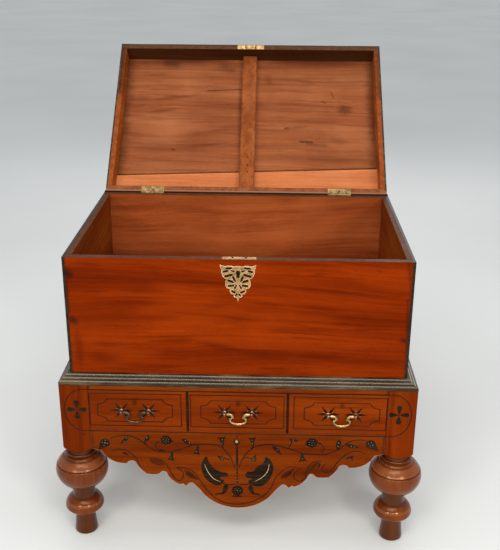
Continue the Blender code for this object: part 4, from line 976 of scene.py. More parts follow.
# How far a drawer's border lies in from its left and right ends
BORDER_SIDES = {"left": (0.0016, 0.0141), "centre": (0.0052, 0.0070), "right": (0.0140, 0.0016)}
BORDER_TOP = 0.0085
BORDER_FOOT = 0.0160
CARTOUCHE = ((0.1030, 0.0180), (0.0955, 0.0190), (0.0870, 0.0220), (0.0805, 0.0270), (0.0760, 0.0350))
CARTOUCHE_RISE = 0.0020
STAR_RAYS = ((0, 0.0335), (52, 0.0310), (128, 0.0310), (180, 0.0335), (232, 0.0310), (308, 0.0310))
RAY_WIDE = (0.0120, 0.0040)
RAY_ROOT = 0.0040
STAR_DOTS = (26, 90, 154, 206, 270, 334)
STAR_DOT_REACH = 0.0132


def make_frieze_inlay(ebony):
    """The stringing round the drawers, with its round ends on the legs, and a cross in each end."""
    shape = ebony_and_bone(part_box("apron_front")[0].y)[0]
    middle = (STADIUM_TOP + STADIUM_FOOT) / 2
    half = (STADIUM_TOP - STADIUM_FOOT) / 2
    line = []
    for (start, reach), way in zip(STADIUM_ENDS, (1, -1)):
        line += [(start + (reach - start) * x, middle + way * half * z)
                 for x, z in sweep((0.0, 0.0), 1.0, pi / 2, -pi, 24)]
    shape.string(line, LINE_HALF, closed=True)
    for place in ORNAMENTS:
        for quarter in range(4):
            head = spun(place, PETAL_REACHES[quarter % 2] - PETAL_HEAD, pi / 2 * quarter)
            shape.cut(drop(head, PETAL_HEAD, place, 16))
        shape.cut(circle(place, ORNAMENT_EYE, 10), OVER)
    shape.string(circle(ORNAMENT_PLUG, PLUG_RING[0], 16), PLUG_RING[1], closed=True)
    shape.piece("frieze_stringing", ebony, "chest", "ebony")


def make_drawer_inlay(ebony, bone):
    """Each drawer front's border, cartouche and stars."""
    for name in DRAWERS:
        low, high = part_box(f"drawer_front_{name}")
        posts = post_places(name)
        left, right = low.x + BORDER_SIDES[name][0], high.x - BORDER_SIDES[name][1]
        foot, top = low.z + BORDER_FOOT, high.z - BORDER_TOP
        dark, pale = ebony_and_bone(low.y)
        dark.string([(left, foot), (right, foot), (right, top), (left, top)], LINE_HALF, closed=True)
        middle = (posts[0].x + posts[1].x) / 2
        height = (low.z + high.z) / 2 + CARTOUCHE_RISE
        line = []
        for across, up in ((1, 1), (-1, 1), (-1, -1), (1, -1)):
            line += [(middle + across * x, height + up * z) for x, z in CARTOUCHE[::across * up]]
        dark.string(line, LINE_HALF, closed=True)
        for place in ((post.x, post.z) for post in posts):
            for degrees, reach in STAR_RAYS:
                ahead = spun((0.0, 0.0), 1.0, radians(degrees))
                dark.cut([moved(place, ahead, along, aside) for along, aside in
                          ((RAY_ROOT, 0.0), RAY_WIDE, (reach, 0.0), (RAY_WIDE[0], -RAY_WIDE[1]))])
            for degrees in STAR_DOTS:
                pale.cut(circle(spun(place, STAR_DOT_REACH, radians(degrees)), DOT * 0.85, 8))
        dark.piece(f"drawer_inlay_{name}", ebony, f"drawer_{name}", "ebony")
        pale.piece(f"drawer_stars_{name}", bone, f"drawer_{name}", "ebony")


# Stage

FLOOR_REACH = 40.0
LIGHTS_AIM = (0.0, -0.2, 0.55)
WARM = (1.0, 0.97, 0.93)
# A light's place, what it aims at, its size, its power and its colour
LIGHTS = {
    "left": ((-1.7, -3.6, 1.95), LIGHTS_AIM, (0.7, 0.45), 28.0, WARM),
    "right": ((1.8, -3.6, 1.95), LIGHTS_AIM, (0.7, 0.45), 38.0, WARM),
    "front": ((0.0, -3.9, 1.95), LIGHTS_AIM, (2.7, 0.22), 28.0, WARM),
    "over": ((0.0, -2.4, 3.1), (0.0, -0.5, 0.3), (2.8, 0.9), 50.0, (1.0, 0.98, 0.95)),
    "top": ((0.0, 0.2, 3.8), LIGHTS_AIM, (3.0, 2.4), 30.0, (1.0, 1.0, 1.0)),
    "back": ((0.4, 3.6, 2.6), LIGHTS_AIM, (2.4, 1.8), 30.0, (1.0, 1.0, 1.0)),
}
FLOOR_TONES = ((206, 207, 204), (214, 215, 212))
SKY_COLOUR = (0.93, 0.96, 1.0, 1.0)
SKY_STRENGTH = 0.72


def softbox(name, place, target, size, power, colour):
    data = bpy.data.lights.new(name, "AREA")
    data.shape = "RECTANGLE"
    data.size, data.size_y = size
    data.energy = power
    data.color = colour
    light = bpy.data.objects.new(name, data)
    light.location = place
    light.rotation_euler = (Vector(target) - Vector(place)).to_track_quat("-Z", "Y").to_euler()
    bpy.context.scene.collection.objects.link(light)


def make_stage():
    mesh = bpy.data.meshes.new("floor")
    reach = FLOOR_REACH
    mesh.from_pydata([(-reach, -reach, 0), (reach, -reach, 0), (reach, reach, 0), (-reach, reach, 0)],
                     [], [(0, 1, 2, 3)])
    floor = bpy.data.objects.new("floor", mesh)
    bpy.context.scene.collection.objects.link(floor)
    graph = Graph("floor", 0.75)
    cloud = graph.noise(graph.place(), 0.7, 2, 0.5)
    graph.colour(graph.ramp(cloud, *zip((0.3, 0.7), (screen(*tone) for tone in FLOOR_TONES))))
    mesh.materials.append(graph.material)

    world = bpy.data.worlds.new("studio")
    world.use_nodes = True
    background = world.node_tree.nodes["Background"]
    background.inputs["Color"].default_value = SKY_COLOUR
    background.inputs["Strength"].default_value = SKY_STRENGTH
    bpy.context.scene.world = world
    for name, light in LIGHTS.items():
        softbox(name, *light)
    settings = bpy.context.scene.view_settings
    settings.view_transform = "Standard"
    settings.look = "None"


# Materials

def screen(red, green, blue):
    """The linear colour, with its alpha, of what a screen shows at 0 to 255."""
    def linear(value):
        share = value / 255
        return share / 12.92 if share <= 0.04045 else ((share + 0.055) / 1.055) ** 2.4
    return (linear(red), linear(green), linear(blue), 1.0)


RAGGED = 0.65              # how far a noise moves a stroke's edge, as a share of its radius


class Graph:
    """One material and short calls that build its nodes."""

    def __init__(self, name, roughness, metallic=0.0, specular=0.5, tint=(1.0, 1.0, 1.0)):
        self.material = bpy.data.materials.new(name)
        self.material.use_nodes = True
        self.tree = self.material.node_tree
        self.shader = self.tree.nodes["Principled BSDF"]
        for socket, value in (("Roughness", roughness), ("Metallic", metallic),
                              ("Specular IOR Level", specular), ("Specular Tint", (*tint, 1.0))):
            self.shader.inputs[socket].default_value = value

    def put(self, value, socket):
        if isinstance(value, bpy.types.NodeSocket):
            self.tree.links.new(value, socket)
        elif isinstance(value, Vector):
            socket.default_value = tuple(value)
        else:
            socket.default_value = value

    def node(self, kind, inputs, **settings):
        made = self.tree.nodes.new("ShaderNode" + kind)
        for key, value in settings.items():
            setattr(made, key, value)
        for key, value in inputs.items():
            self.put(value, made.inputs[key])
        return made

    def place(self):
        """The point on the piece, in the frame's metres at rest."""
        return self.node("TexCoord", {}).outputs["Object"]

    def turned(self, vector, rotation=(0.0, 0.0, 0.0), scale=(1.0, 1.0, 1.0), shift=(0.0, 0.0, 0.0)):
        return self.node("Mapping", {"Vector": vector, "Rotation": rotation, "Scale": scale,
                                     "Location": shift}).outputs["Vector"]

    def noise(self, vector, scale, detail=2.0, roughness=0.5, distortion=0.0, output="Fac"):
        made = self.node("TexNoise", {"Vector": vector, "Scale": scale, "Detail": detail,
                                      "Roughness": roughness, "Distortion": distortion})
        return made.outputs[output]

    def math(self, operation, first, second=0.0, third=0.0, clamp=False):
        made = self.node("Math", {0: first, 1: second, 2: third}, operation=operation, use_clamp=clamp)
        return made.outputs[0]

    def vector_math(self, operation, first, second, output="Vector"):
        key = "Scale" if operation == "SCALE" else 1
        return self.node("VectorMath", {0: first, key: second}, operation=operation).outputs[output]

    def spread(self, value, low, high, start=0.0, end=1.0):
        """The value from low to high, taken smoothly to start and end."""
        made = self.node("MapRange", {"Value": value, "From Min": low, "From Max": high,
                                      "To Min": start, "To Max": end}, interpolation_type="SMOOTHSTEP")
        return made.outputs["Result"]

    def mix(self, share, first, second):
        return self.node("MixRGB", {"Fac": share, "Color1": first, "Color2": second}).outputs["Color"]

    def ramp(self, value, *stops):
        made = self.node("ValToRGB", {"Fac": value})
        elements = made.color_ramp.elements
        elements[0].position, elements[0].color = stops[0]
        elements[1].position, elements[1].color = stops[-1]
        for position, colour in stops[1:-1]:
            elements.new(position).color = colour
        return made.outputs["Color"]

    def colour(self, value):
        self.put(value, self.shader.inputs["Base Color"])

    def roughness(self, value):
        self.put(value, self.shader.inputs["Roughness"])

    def bump(self, height, distance, strength):
        made = self.node("Bump", {"Height": height, "Distance": distance, "Strength": strength})
        self.put(made.outputs["Normal"], self.shader.inputs["Normal"])

    def strokes(self, place, marks, ragged, inner, outer, taper=0.0):
        """A mask of soft strokes, ragged by a noise. Each mark is (start, end, radius, strength).

        A stroke fades from inner to outer, in shares of its radius. taper thins it towards its ends.
        """
        mask = 0.0
        for start, end, radius, strength in marks:
            run = end - start
            offset = self.vector_math("SUBTRACT", place, start)
            along = self.vector_math("DOT_PRODUCT", offset, run / run.length_squared, "Value")
            along = self.math("ADD", along, 0.0, clamp=True)
            offset = self.vector_math("SUBTRACT", offset, self.vector_math("SCALE", run, along))
            far = self.node("VectorMath", {0: offset}, operation="LENGTH").outputs["Value"]
            if taper:
                aside = self.math("ABSOLUTE", self.math("SUBTRACT", along, 0.5))
                far = self.math("MULTIPLY_ADD", self.math("POWER", aside, 2.0), 4 * taper * radius, far)
            far = self.math("MULTIPLY_ADD", ragged, 2 * RAGGED * radius, far)
            spot = self.spread(far, (RAGGED + inner) * radius, (RAGGED + outer) * radius, strength, 0.0)
            mask = spot if mask == 0.0 else self.math("MAXIMUM", mask, spot)
        return mask

    def height(self, place):
        return self.node("SeparateXYZ", {"Vector": place}).outputs["Z"]

    def near_face(self, place, point, normal, depth):
        """A mask, 1 at the plane through a point and 0 at this depth under it."""
        offset = self.vector_math("SUBTRACT", place, Vector(point))
        height = self.vector_math("DOT_PRODUCT", offset, Vector(normal), "Value")
        waver = self.noise(place, 300.0, 3.0, 0.6)
        height = self.math("MULTIPLY_ADD", waver, -0.8 * depth, height)
        return self.spread(height, -1.4 * depth, -0.5 * depth)

    def near_edge(self, place, low, high, axes, reach):
        """A mask, 1 at the box's faces across these axes and 0 past the reach inside them."""
        split = self.node("SeparateXYZ", {"Vector": place}).outputs
        nearest = 1.0
        for axis in axes:
            number = "XYZ".index(axis)
            for value in (self.math("SUBTRACT", split[number], low[number]),
                          self.math("SUBTRACT", high[number], split[number])):
                nearest = value if nearest == 1.0 else self.math("MINIMUM", nearest, value)
        waver = self.noise(place, 45.0, 3.0, 0.6)
        nearest = self.math("MULTIPLY_ADD", waver, -0.6 * reach, nearest)
        return self.spread(nearest, -0.4 * reach, 0.7 * reach, 1.0, 0.0)


GRAIN_TURN = {
    "X": (0.0, 0.0, 0.0),
    "Y": (0.0, 0.0, -pi / 2),
    "Z": (0.0, pi / 2, 0.0),
    "LID": (0.0, radians(LID_ANGLE), -pi / 2),
}


def scaled(colour, red, green, blue):
    return (colour[0] * red, colour[1] * green, colour[2] * blue, 1.0)


VARNISH_TINT = (1.0, 0.5, 0.22)
GRAIN_WANDER = 0.05        # how far the fibres sway, in metres
# Layers of the grain: the noise's scale along and across it, its detail and roughness, and where
# the layer starts and is full
GRAIN_LAYERS = {
    "streaks": (1.5, 95.0, 4.0, 0.62, 0.45, 0.72),
    "pale": (2.1, 150.0, 3.0, 0.6, 0.52, 0.78),
    "pores": (38.0, 1500.0, 1.0, 0.5, 0.62, 0.70),
    "glow": (2.4, 9.0, 3.0, 0.55, 0.48, 0.74),
}
RUBBED_EBONY = (0.165, 0.114, 0.062, 1.0)
TARNISH = (0.10, 0.055, 0.02, 1.0)
# The dark of soot marks, and of painted shade
SOOT_AND_SHADE = (0.010, 0.005, 0.003, 1.0)


def wood(name, grain, middle, seed, roughness=0.42, specular=0.22, figure=16.0, contrast=1.0, cloud=0.35,
         marks=(), bands=(), belts=(), shade_and_grime=None, rim=None, tint=VARNISH_TINT):
    """Oiled hardwood: broad figure, wandering streaks, short pores, clouds of patina, grime and painted
    shade.

    grain is the axis that the fibres follow. figure counts the broad bands in a metre across them.
    bands are dark stripes of the grain, with painted shade among them on the lid, and marks are strokes
    of soot. belts are (height, reach, strength, colour), where a turning is darker or paler all round:
    darker towards its foot, painted shade in its hollows, and painted highlight on its bulb and ball.
    shade_and_grime is (low, high, axes, reach): the piece darkens towards those faces; on the lid and
    on the apron's pale arrises this is painted shade. rim is (point, normal, colour), for a face painted
    greyer: dust, and a painted sheen.
    """
    graph = Graph(name, roughness, specular=specular, tint=tint)
    place = graph.place()
    along = graph.turned(place, rotation=GRAIN_TURN[grain], shift=(seed * 1.7, seed * 0.61, seed * 0.37))
    dark = scaled(middle, 0.50, 0.40, 0.40)
    light = scaled(middle, 1.36, 1.62, 1.9)

    drift = graph.noise(graph.turned(along, scale=(1.1, 2.6, 2.6)), 1.0, 2.0, 0.5, output="Color")
    drift = graph.vector_math("SUBTRACT", drift, (0.5, 0.5, 0.5))
    drift = graph.vector_math("MULTIPLY", drift, (0.0, GRAIN_WANDER * 2, GRAIN_WANDER * 2))
    swayed = graph.vector_math("ADD", along, drift)

    def stretched(lengthwise, across, detail, rough, distortion=0.0):
        """A noise drawn out along the grain."""
        drawn = graph.turned(swayed, scale=(lengthwise, across, across))
        return graph.noise(drawn, 1.0, detail, rough, distortion)

    def layer(kind):
        *noise, low, high = GRAIN_LAYERS[kind]
        return graph.spread(stretched(*noise), low, high)

    broad = stretched(0.55, figure, 5.0, 0.6, 0.1)
    spread = 0.26 / contrast
    colour = graph.ramp(broad, (0.5 - spread, dark), (0.5, middle), (0.5 + spread, light))
    streaks = layer("streaks")
    colour = graph.mix(graph.math("MULTIPLY", streaks, 0.5 * contrast), colour, dark)
    pale = layer("pale")
    colour = graph.mix(graph.math("MULTIPLY", pale, 0.4 * contrast), colour, light)
    fibres = stretched(9.0, 520.0, 2.0, 0.6)
    colour = graph.mix(graph.spread(fibres, 0.4, 0.7, 0.0, 0.22), colour, dark)
    pores = layer("pores")
    colour = graph.mix(graph.math("MULTIPLY", pores, 0.5), colour, scaled(dark, 0.4, 0.4, 0.4))
    glow = layer("glow")
    colour = graph.mix(graph.math("MULTIPLY", glow, 0.42 * contrast), colour, light)
    clouds = graph.noise(place, 3.1, 4.0, 0.6)
    colour = graph.mix(graph.spread(clouds, 0.38, 0.72, 0.0, cloud), colour, dark)
    if bands:
        ragged = stretched(4.0, 60.0, 4.0, 0.65)
        shade = graph.strokes(place, bands, ragged, -0.4, 1.9, 1.6)
        colour = graph.mix(shade, colour, scaled(middle, 0.30, 0.18, 0.2))
    rough = graph.math("MULTIPLY_ADD", streaks, 0.08, roughness - 0.08)
    rough = graph.math("MULTIPLY_ADD", clouds, 0.16, rough)
    # Darker towards chosen faces; on the lid and on the apron's pale arrises this is painted shade
    if shade_and_grime:
        darkening = graph.near_edge(place, *shade_and_grime)
        colour = graph.mix(graph.math("MULTIPLY", darkening, 0.75), colour, SOOT_AND_SHADE)
    # Belts all round a turning: a darker foot, painted shade in the hollows and painted highlight on the
    # bulb and ball
    for level, reach, strength, shown in belts:
        far = graph.math("ABSOLUTE", graph.math("SUBTRACT", graph.height(place), level))
        colour = graph.mix(graph.spread(far, 0.4 * reach, reach, strength, 0.0), colour, shown)
    # A rim face painted greyer: dust, and a painted sheen
    if rim:
        point, normal, altered_colour = rim
        mottle = graph.noise(place, 55.0, 4.0, 0.65)
        greyed = graph.ramp(mottle, (0.35, scaled(altered_colour, 0.55, 0.5, 0.45)), (0.65, altered_colour))
        colour = graph.mix(graph.math("MULTIPLY", graph.near_face(place, point, normal, 0.0012), 0.85),
                           colour, greyed)
    if marks:
        darkening = graph.strokes(place, marks, graph.noise(place, 75.0, 4.0, 0.65), -0.2, 1.6)
        colour = graph.mix(darkening, colour, SOOT_AND_SHADE)
    graph.colour(colour)
    graph.roughness(rough)
    height = graph.math("SUBTRACT", fibres, pores)
    graph.bump(height, 0.00025, 0.5)
    return graph.material


def ebony_wood(name, grain, seed, roughness=0.34, specular=0.5, rub=0.5, pale=1.0, tint=(1.0, 0.85, 0.68),
               worn_below=None):
    """Ebony, near black with brown and grey streaks, rubbed browner in patches.

    grain is the axis that the fibres follow, or ROUND where they run round the box's foot.
    worn_below is (height, colour): under that height the wood is worn to the colour.
    """
    graph = Graph(name, roughness, specular=specular, tint=tint)
    place = graph.place()
    if grain == "ROUND":
        split = graph.node("SeparateXYZ", {"Vector": place}).outputs
        place_along = graph.math("ADD", split["X"], split["Y"])
        along = graph.node("CombineXYZ", {"X": place_along, "Z": split["Z"]}).outputs["Vector"]
    else:
        along = graph.turned(place, rotation=GRAIN_TURN[grain], shift=(seed, seed * 0.7, seed * 0.3))
    streaks = graph.noise(graph.turned(along, scale=(3.0, 210.0, 210.0)), 1.0, 3.0, 0.6)
    colour = graph.ramp(streaks, (0.35, (0.007, 0.004, 0.003, 1.0)), (0.55, (0.016, 0.010, 0.006, 1.0)),
                        (0.75, scaled((0.050, 0.026, 0.012), pale, pale, pale)))
    rubbed = graph.noise(graph.turned(along, scale=(5.0, 40.0, 40.0)), 1.0, 4.0, 0.65)
    colour = graph.mix(graph.spread(rubbed, 0.42, 0.68, 0.0, rub), colour, RUBBED_EBONY)
    if worn_below:
        level, altered_colour = worn_below
        share = graph.spread(graph.height(place), level - 0.002, level + 0.002, 0.9, 0.0)
        colour = graph.mix(share, colour, altered_colour)
    graph.colour(colour)
    graph.roughness(graph.math("MULTIPLY_ADD", rubbed, 0.25, roughness - 0.08))
    graph.bump(streaks, 0.00015, 0.5)
    return graph.material


def bone_inlay(name):
    """Bone, ivory coloured with brown in its pores."""
    graph = Graph(name, 0.45, specular=0.3)
    place = graph.place()
    yellowed = graph.noise(place, 240.0, 3.0, 0.6)
    graph.colour(graph.ramp(yellowed, (0.35, screen(146, 108, 66)), (0.65, screen(198, 168, 124))))
    pores = graph.noise(place, 1800.0, 2.0, 0.5)
    graph.bump(pores, 0.00005, 0.4)
    return graph.material


def aged_metal(name, bright, dull, tarnish, roughness):
    """Old brass or steel, bright where it is touched and brown where it isn't."""
    graph = Graph(name, roughness, metallic=1.0)
    place = graph.place()
    patches = graph.noise(place, 90.0, 5.0, 0.65)
    specks = graph.noise(place, 700.0, 3.0, 0.6)
    colour = graph.ramp(patches, (0.38, (*dull, 1.0)), (0.62, (*bright, 1.0)))
    colour = graph.mix(graph.spread(specks, 0.55, 0.75, 0.0, tarnish), colour, TARNISH)
    graph.colour(colour)
    graph.roughness(graph.math("MULTIPLY_ADD", patches, -0.2, roughness + 0.1))
    graph.bump(specks, 0.0001, 0.4)
    return graph.material


# Marks of use, as pixels of the photograph: x and y of a start and of an end, radius and strength
FRONT_MARKS = (
    (66, 271.5, 68.5, 274.5, 5, 0.85), (72.5, 319.5, 74, 321, 4.6, 0.75), (66, 280, 68.5, 312, 2.2, 0.45),
    (403, 340.5, 406.5, 342, 3, 0.75), (409, 262, 411.5, 290, 2.2, 0.45), (408, 300, 406.5, 372, 1.8, 0.45),
)
FRONT_BANDS = (
    (140, 341.5, 204, 340, 3.8, 0.6), (188, 340, 252, 353.5, 3.8, 0.62), (230, 352, 304, 355.5, 4.2, 0.6),
    (290, 355.5, 356, 357.5, 3.4, 0.55), (336, 330, 402, 329.5, 1.6, 0.6),
    (280, 336.5, 330, 340.5, 1.4, 0.4), (244, 301.5, 290, 306.5, 1.8, 0.42),
    (284, 306, 352, 311, 1.8, 0.48), (305, 276.5, 334, 273.5, 2, 0.42), (112, 289.5, 176, 291.5, 2.4, 0.44),
    (128, 267, 172, 268.5, 2, 0.45), (84, 354, 124, 360, 6, 0.5), (76, 292, 112, 290.5, 1.6, 0.42),
    (150, 310, 240, 318, 1.6, 0.34), (205, 313, 262, 322.5, 1.8, 0.42), (252, 368, 300, 369.5, 1.6, 0.5),
    (96, 264, 150, 265, 1.4, 0.3), (88, 343, 126, 345, 3.6, 0.4), (270, 320, 330, 331, 1.4, 0.3),
    (120, 368, 196, 366, 2.4, 0.32), (100, 300, 160, 303, 1.6, 0.34), (64, 262, 110, 266, 2, 0.4),
    (76, 324, 82, 372, 5, 0.5), (180, 279, 222, 283, 1.6, 0.3), (90, 324, 150, 327, 1.6, 0.3),
)
LID_MARKS = (
    (343.5, 110, 345.5, 109.6, 7, 0.66), (168, 63.4, 176, 64.4, 5.6, 0.46), (224, 66.5, 231, 70, 7.6, 0.36),
    (208, 90.5, 241, 89.6, 0.8, 0.75), (300, 141.8, 312, 142.4, 1.2, 0.8),
    (308, 144, 325, 145.6, 2.4, 0.36), (322, 101.6, 325, 103, 1.1, 0.6), (331, 92, 333.5, 98, 0.9, 0.5),
    (172, 149, 174, 149.6, 1.5, 0.55), (285, 128.6, 288, 128.2, 1.3, 0.6),
    (115, 174.9, 239.8, 172, 1, 0.85), (254, 171.5, 376, 168.8, 1, 0.85),
)
# The lid's dark bands: stripes of the grain, and painted shade by the back rail, along the left and right
# rails and beside the batten
LID_BANDS = (
    (124, 99.5, 160, 99, 1.8, 0.6), (136, 101.5, 206, 94.5, 2.2, 0.62), (142, 112.8, 184, 108, 2.4, 0.62),
    (126, 108, 150, 105, 1.4, 0.4), (282, 129, 312, 126, 2.6, 0.5), (126, 147, 178, 150, 1.8, 0.5),
    (168, 150, 238, 141, 2, 0.44), (180, 136, 236, 128, 1.8, 0.34), (266, 74, 271, 86, 3.2, 0.45),
    (126, 66, 124, 104, 3.2, 0.5), (241, 62, 239.5, 170, 2.2, 0.45), (126, 62, 242, 59, 5.6, 0.9),
    (256, 62, 374, 62, 5.2, 0.85), (290, 80, 320, 84, 2.8, 0.36), (326, 140, 352, 142.5, 3, 0.4),
    (262, 88, 330, 94, 1.4, 0.34), (128, 120, 200, 118, 1.6, 0.26), (300, 158, 372, 160, 2.6, 0.26),
    (371, 62, 374, 156, 4.6, 0.55),
)
# Darker upper ends of the lid's side rims
SIDE_MARKS = ((123, 46, 119, 90, 6, 0.78), (377, 46, 380, 96, 5, 0.5))
# The batten's pegs
BATTEN_MARKS = tuple((247.2, level, 247.3, level + 0.1, 1.15, 0.85) for level in (157, 165, 171.8))
# A leg's belts: darker towards its foot, painted shade in the hollows of its turning, and paler bands of
# painted highlight on its bulb and ball
PAINTED_HIGHLIGHT_PALE = screen(150, 96, 60)
LEG_SHADE_AND_HIGHLIGHT_BELTS = ((0.0, 0.100, 0.55, SOOT_AND_SHADE), (0.1410, 0.030, 0.62, SOOT_AND_SHADE), (0.2790, 0.018, 0.55, SOOT_AND_SHADE),
             (0.2590, 0.0028, 0.4, SOOT_AND_SHADE), (0.2354, 0.0024, 0.4, SOOT_AND_SHADE), (0.2490, 0.0105, 0.20, PAINTED_HIGHLIGHT_PALE),
             (0.2400, 0.0016, 0.35, PAINTED_HIGHLIGHT_PALE), (0.1060, 0.0050, 0.25, PAINTED_HIGHLIGHT_PALE))
# A metal's bright and dull colours, how tarnished it is, and its roughness
METALS = {
    "brass": ((0.12, 0.08, 0.045), (0.05, 0.03, 0.016), 0.6, 0.42),
    "post_brass": ((0.30, 0.19, 0.11), (0.12, 0.07, 0.035), 0.5, 0.30),
    "bright_brass": ((0.56, 0.37, 0.15), (0.26, 0.155, 0.055), 0.55, 0.28),
    # The escutcheon's raised rims, painted much brighter than its plate: a painted highlight
    "rim_brass": ((1.0, 0.72, 0.45), (0.80, 0.52, 0.26), 0.15, 0.26),
    "plate_brass": ((0.56, 0.35, 0.15), (0.30, 0.17, 0.06), 0.5, 0.30),
    "worn_brass": ((0.40, 0.25, 0.10), (0.15, 0.095, 0.04), 0.7, 0.42),
    # The box's hinge leaves, darker than the lid's: dirt, and painted shade
    "dull_brass": ((0.27, 0.17, 0.07), (0.10, 0.06, 0.025), 0.7, 0.5),
    "steel": ((0.16, 0.15, 0.13), (0.07, 0.06, 0.05), 0.6, 0.5),
}
DRAWER_PLUG = 0.0075       # radius of the plugged keyhole over each handle
PLUG_HALF = 0.0030         # half of how far it is drawn out upwards
PLUG_DEPTH = 0.0334        # from the drawer front's top


def marks_on(pixel_marks, point, normal, span):
    """Marks given by pixels, laid on a plane. span is what a pixel covers there."""
    return [(seen_on(mark[0:2], point, normal), seen_on(mark[2:4], point, normal), mark[4] * span, mark[5])
            for mark in pixel_marks]


def make_materials():
    """The woods and metals by name. Each group of boards has its own grain and its own seed."""
    front_low, front_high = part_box("box_front")
    apron_low, apron_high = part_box("apron_front")
    lid_low, lid_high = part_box("lid_board_main")
    out = lid_axes()[1]
    rim = out * furthest("lid_rail_front", out)
    board = out * furthest("lid_board_main", out)
    batten = out * furthest("lid_batten", out)
    plugs = []
    for name in DRAWERS:
        low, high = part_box(f"drawer_front_{name}")
        spot = Vector((sum(post_places(name), Vector()).x / 2, low.y, high.z - PLUG_DEPTH))
        half = Vector((0.0, 0.0, PLUG_HALF))
        plugs.append((spot - half, spot + half, DRAWER_PLUG, 0.66))
    # The box's rim tops are painted greyer: dust, and a painted sheen
    box_rim = ((0.0, 0.0, front_high.z), (0.0, 0.0, 1.0), screen(80, 48, 24))
    highlight_fade_low = apron_low - Vector((0, 0, 1))
    made = {
        "front": wood("box_front", "X", screen(124, 38, 2), 1.0, 0.34, 0.05, contrast=1.35,
                      marks=marks_on(FRONT_MARKS, front_low, FRONT, FRONT_PIXEL),
                      bands=marks_on(FRONT_BANDS, front_low, FRONT, FRONT_PIXEL),
                      shade_and_grime=(front_low, front_high, "X", 0.014), rim=box_rim),
        "back": wood("box_back", "X", screen(147, 70, 31), 2.0, 0.5, 0.04, contrast=1.4, rim=box_rim),
        "ends": wood("box_ends", "Y", screen(120, 53, 12), 3.0, 0.42, 0.05, contrast=1.2, rim=box_rim),
        "lid": wood("lid_board", "X", screen(143, 80, 46), 4.0, 0.6, 0.06, contrast=1.3, cloud=0.45,
                    marks=marks_on(LID_MARKS, board, out, LID_PIXEL),
                    bands=marks_on(LID_BANDS, board, out, LID_PIXEL),
                    # painted shade along the lid board's left and right rails
                    shade_and_grime=(lid_low, lid_high, "X", 0.065)),
        "outside": wood("lid_outside", "X", screen(122, 44, 8), 16.0, 0.34, 0.05, contrast=1.3),
        "outside_end": wood("lid_outside_end", "LID", screen(122, 44, 8), 17.0, 0.34, 0.05, contrast=1.3),
        "pale": wood("lid_plank", "X", screen(192, 112, 66), 5.0, 0.55, 0.06, contrast=0.95, cloud=0.1),
        # The rims of the lid's rails are painted greyer: dust, and a painted sheen
        "lid_front": wood("lid_rail_front", "X", screen(73, 41, 20), 6.0, 0.55, 0.05,
                          rim=(rim, out, screen(96, 64, 42))),
        "lid_back": wood("lid_rail_back", "X", screen(130, 72, 40), 6.5, 0.55, 0.05,
                         rim=(rim, out, screen(136, 80, 50))),
        "lid_side": wood("lid_side", "LID", screen(164, 80, 25), 7.0, 0.5, 0.05, contrast=1.2,
                         marks=marks_on(SIDE_MARKS, rim, out, LID_PIXEL),
                         rim=(rim, out, screen(138, 72, 36))),
        "batten": wood("lid_batten", "LID", screen(142, 75, 36), 7.5, 0.5, 0.06, contrast=1.3, cloud=0.5,
                       marks=marks_on(BATTEN_MARKS, batten, out, LID_PIXEL)),
        "stand": wood("stand", "X", screen(110, 42, 3), 8.0, 0.34, 0.05, contrast=1.55,
                      shade_and_grime=(apron_low, apron_high, "X", 0.012)),
        "drawer": wood("drawer_front", "X", screen(116, 41, 3), 9.0, 0.34, 0.05, contrast=1.4, marks=plugs),
        "side": wood("stand_side", "Y", screen(107, 41, 4), 10.0, 0.4, 0.05, contrast=1.2),
        "block": wood("leg_block", "Z", screen(106, 35, 2), 11.5, 0.34, 0.05, contrast=1.2),
        "leg": wood("leg", "Z", screen(104, 42, 5), 11.0, 0.14, 0.46, contrast=1.3, figure=30.0,
                    tint=(1.0, 0.62, 0.38), belts=LEG_SHADE_AND_HIGHLIGHT_BELTS),
        "inner": wood("drawer_lining", "Y", screen(176, 134, 88), 12.0, 0.62, 0.1, contrast=0.6),
        "inner_cross": wood("drawer_cross", "X", screen(176, 134, 88), 13.0, 0.62, 0.1, contrast=0.6),
        "ebony": ebony_wood("ebony", "X", 1.0, 0.30, 0.35, 0.5),
        "lid_edging": ebony_wood("lid_edging", "X", 1.4, 0.34, 0.25, 0.4,
                                 worn_below=(0.8720, screen(140, 88, 62))),
        "fascia": ebony_wood("moulding_fascia", "ROUND", 1.2, 0.36, 0.25, 0.65, tint=(1.0, 0.8, 0.5)),
        "reeds": ebony_wood("moulding_reeds", "ROUND", 1.6, 0.19, 0.85, 0.30, tint=(1.0, 0.88, 0.66)),
        "fillet": ebony_wood("moulding_fillet", "ROUND", 1.9, 0.5, 0.2, 1.0, 2.0, (1.0, 0.86, 0.64)),
        "ebony_end": ebony_wood("ebony_end", "Y", 2.0, rub=0.08, specular=0.12),
        "inlay": ebony_wood("inlay_ebony", "X", 3.0, 0.40, 0.04, 0.02, 0.6, (1.0, 0.6, 0.32)),
        "bone": bone_inlay("inlay_bone"),
        "scorched": wood("scorched_inlay", "X", screen(72, 24, 3), 14.0, 0.42, 0.1),
        # The apron's rounded arrises: paler worn wood and a painted highlight, faded by painted shade
        # towards the legs and the apron's top
        "worn_and_highlight_wood": wood("worn_and_highlight_edge", "X", screen(186, 104, 58), 15.0, 0.5, 0.05, contrast=0.8, cloud=0.3,
                          shade_and_grime=(highlight_fade_low, apron_high, "XZ", 0.010)),
    }
    made.update((name, aged_metal(name, *metal)) for name, metal in METALS.items())
    return made


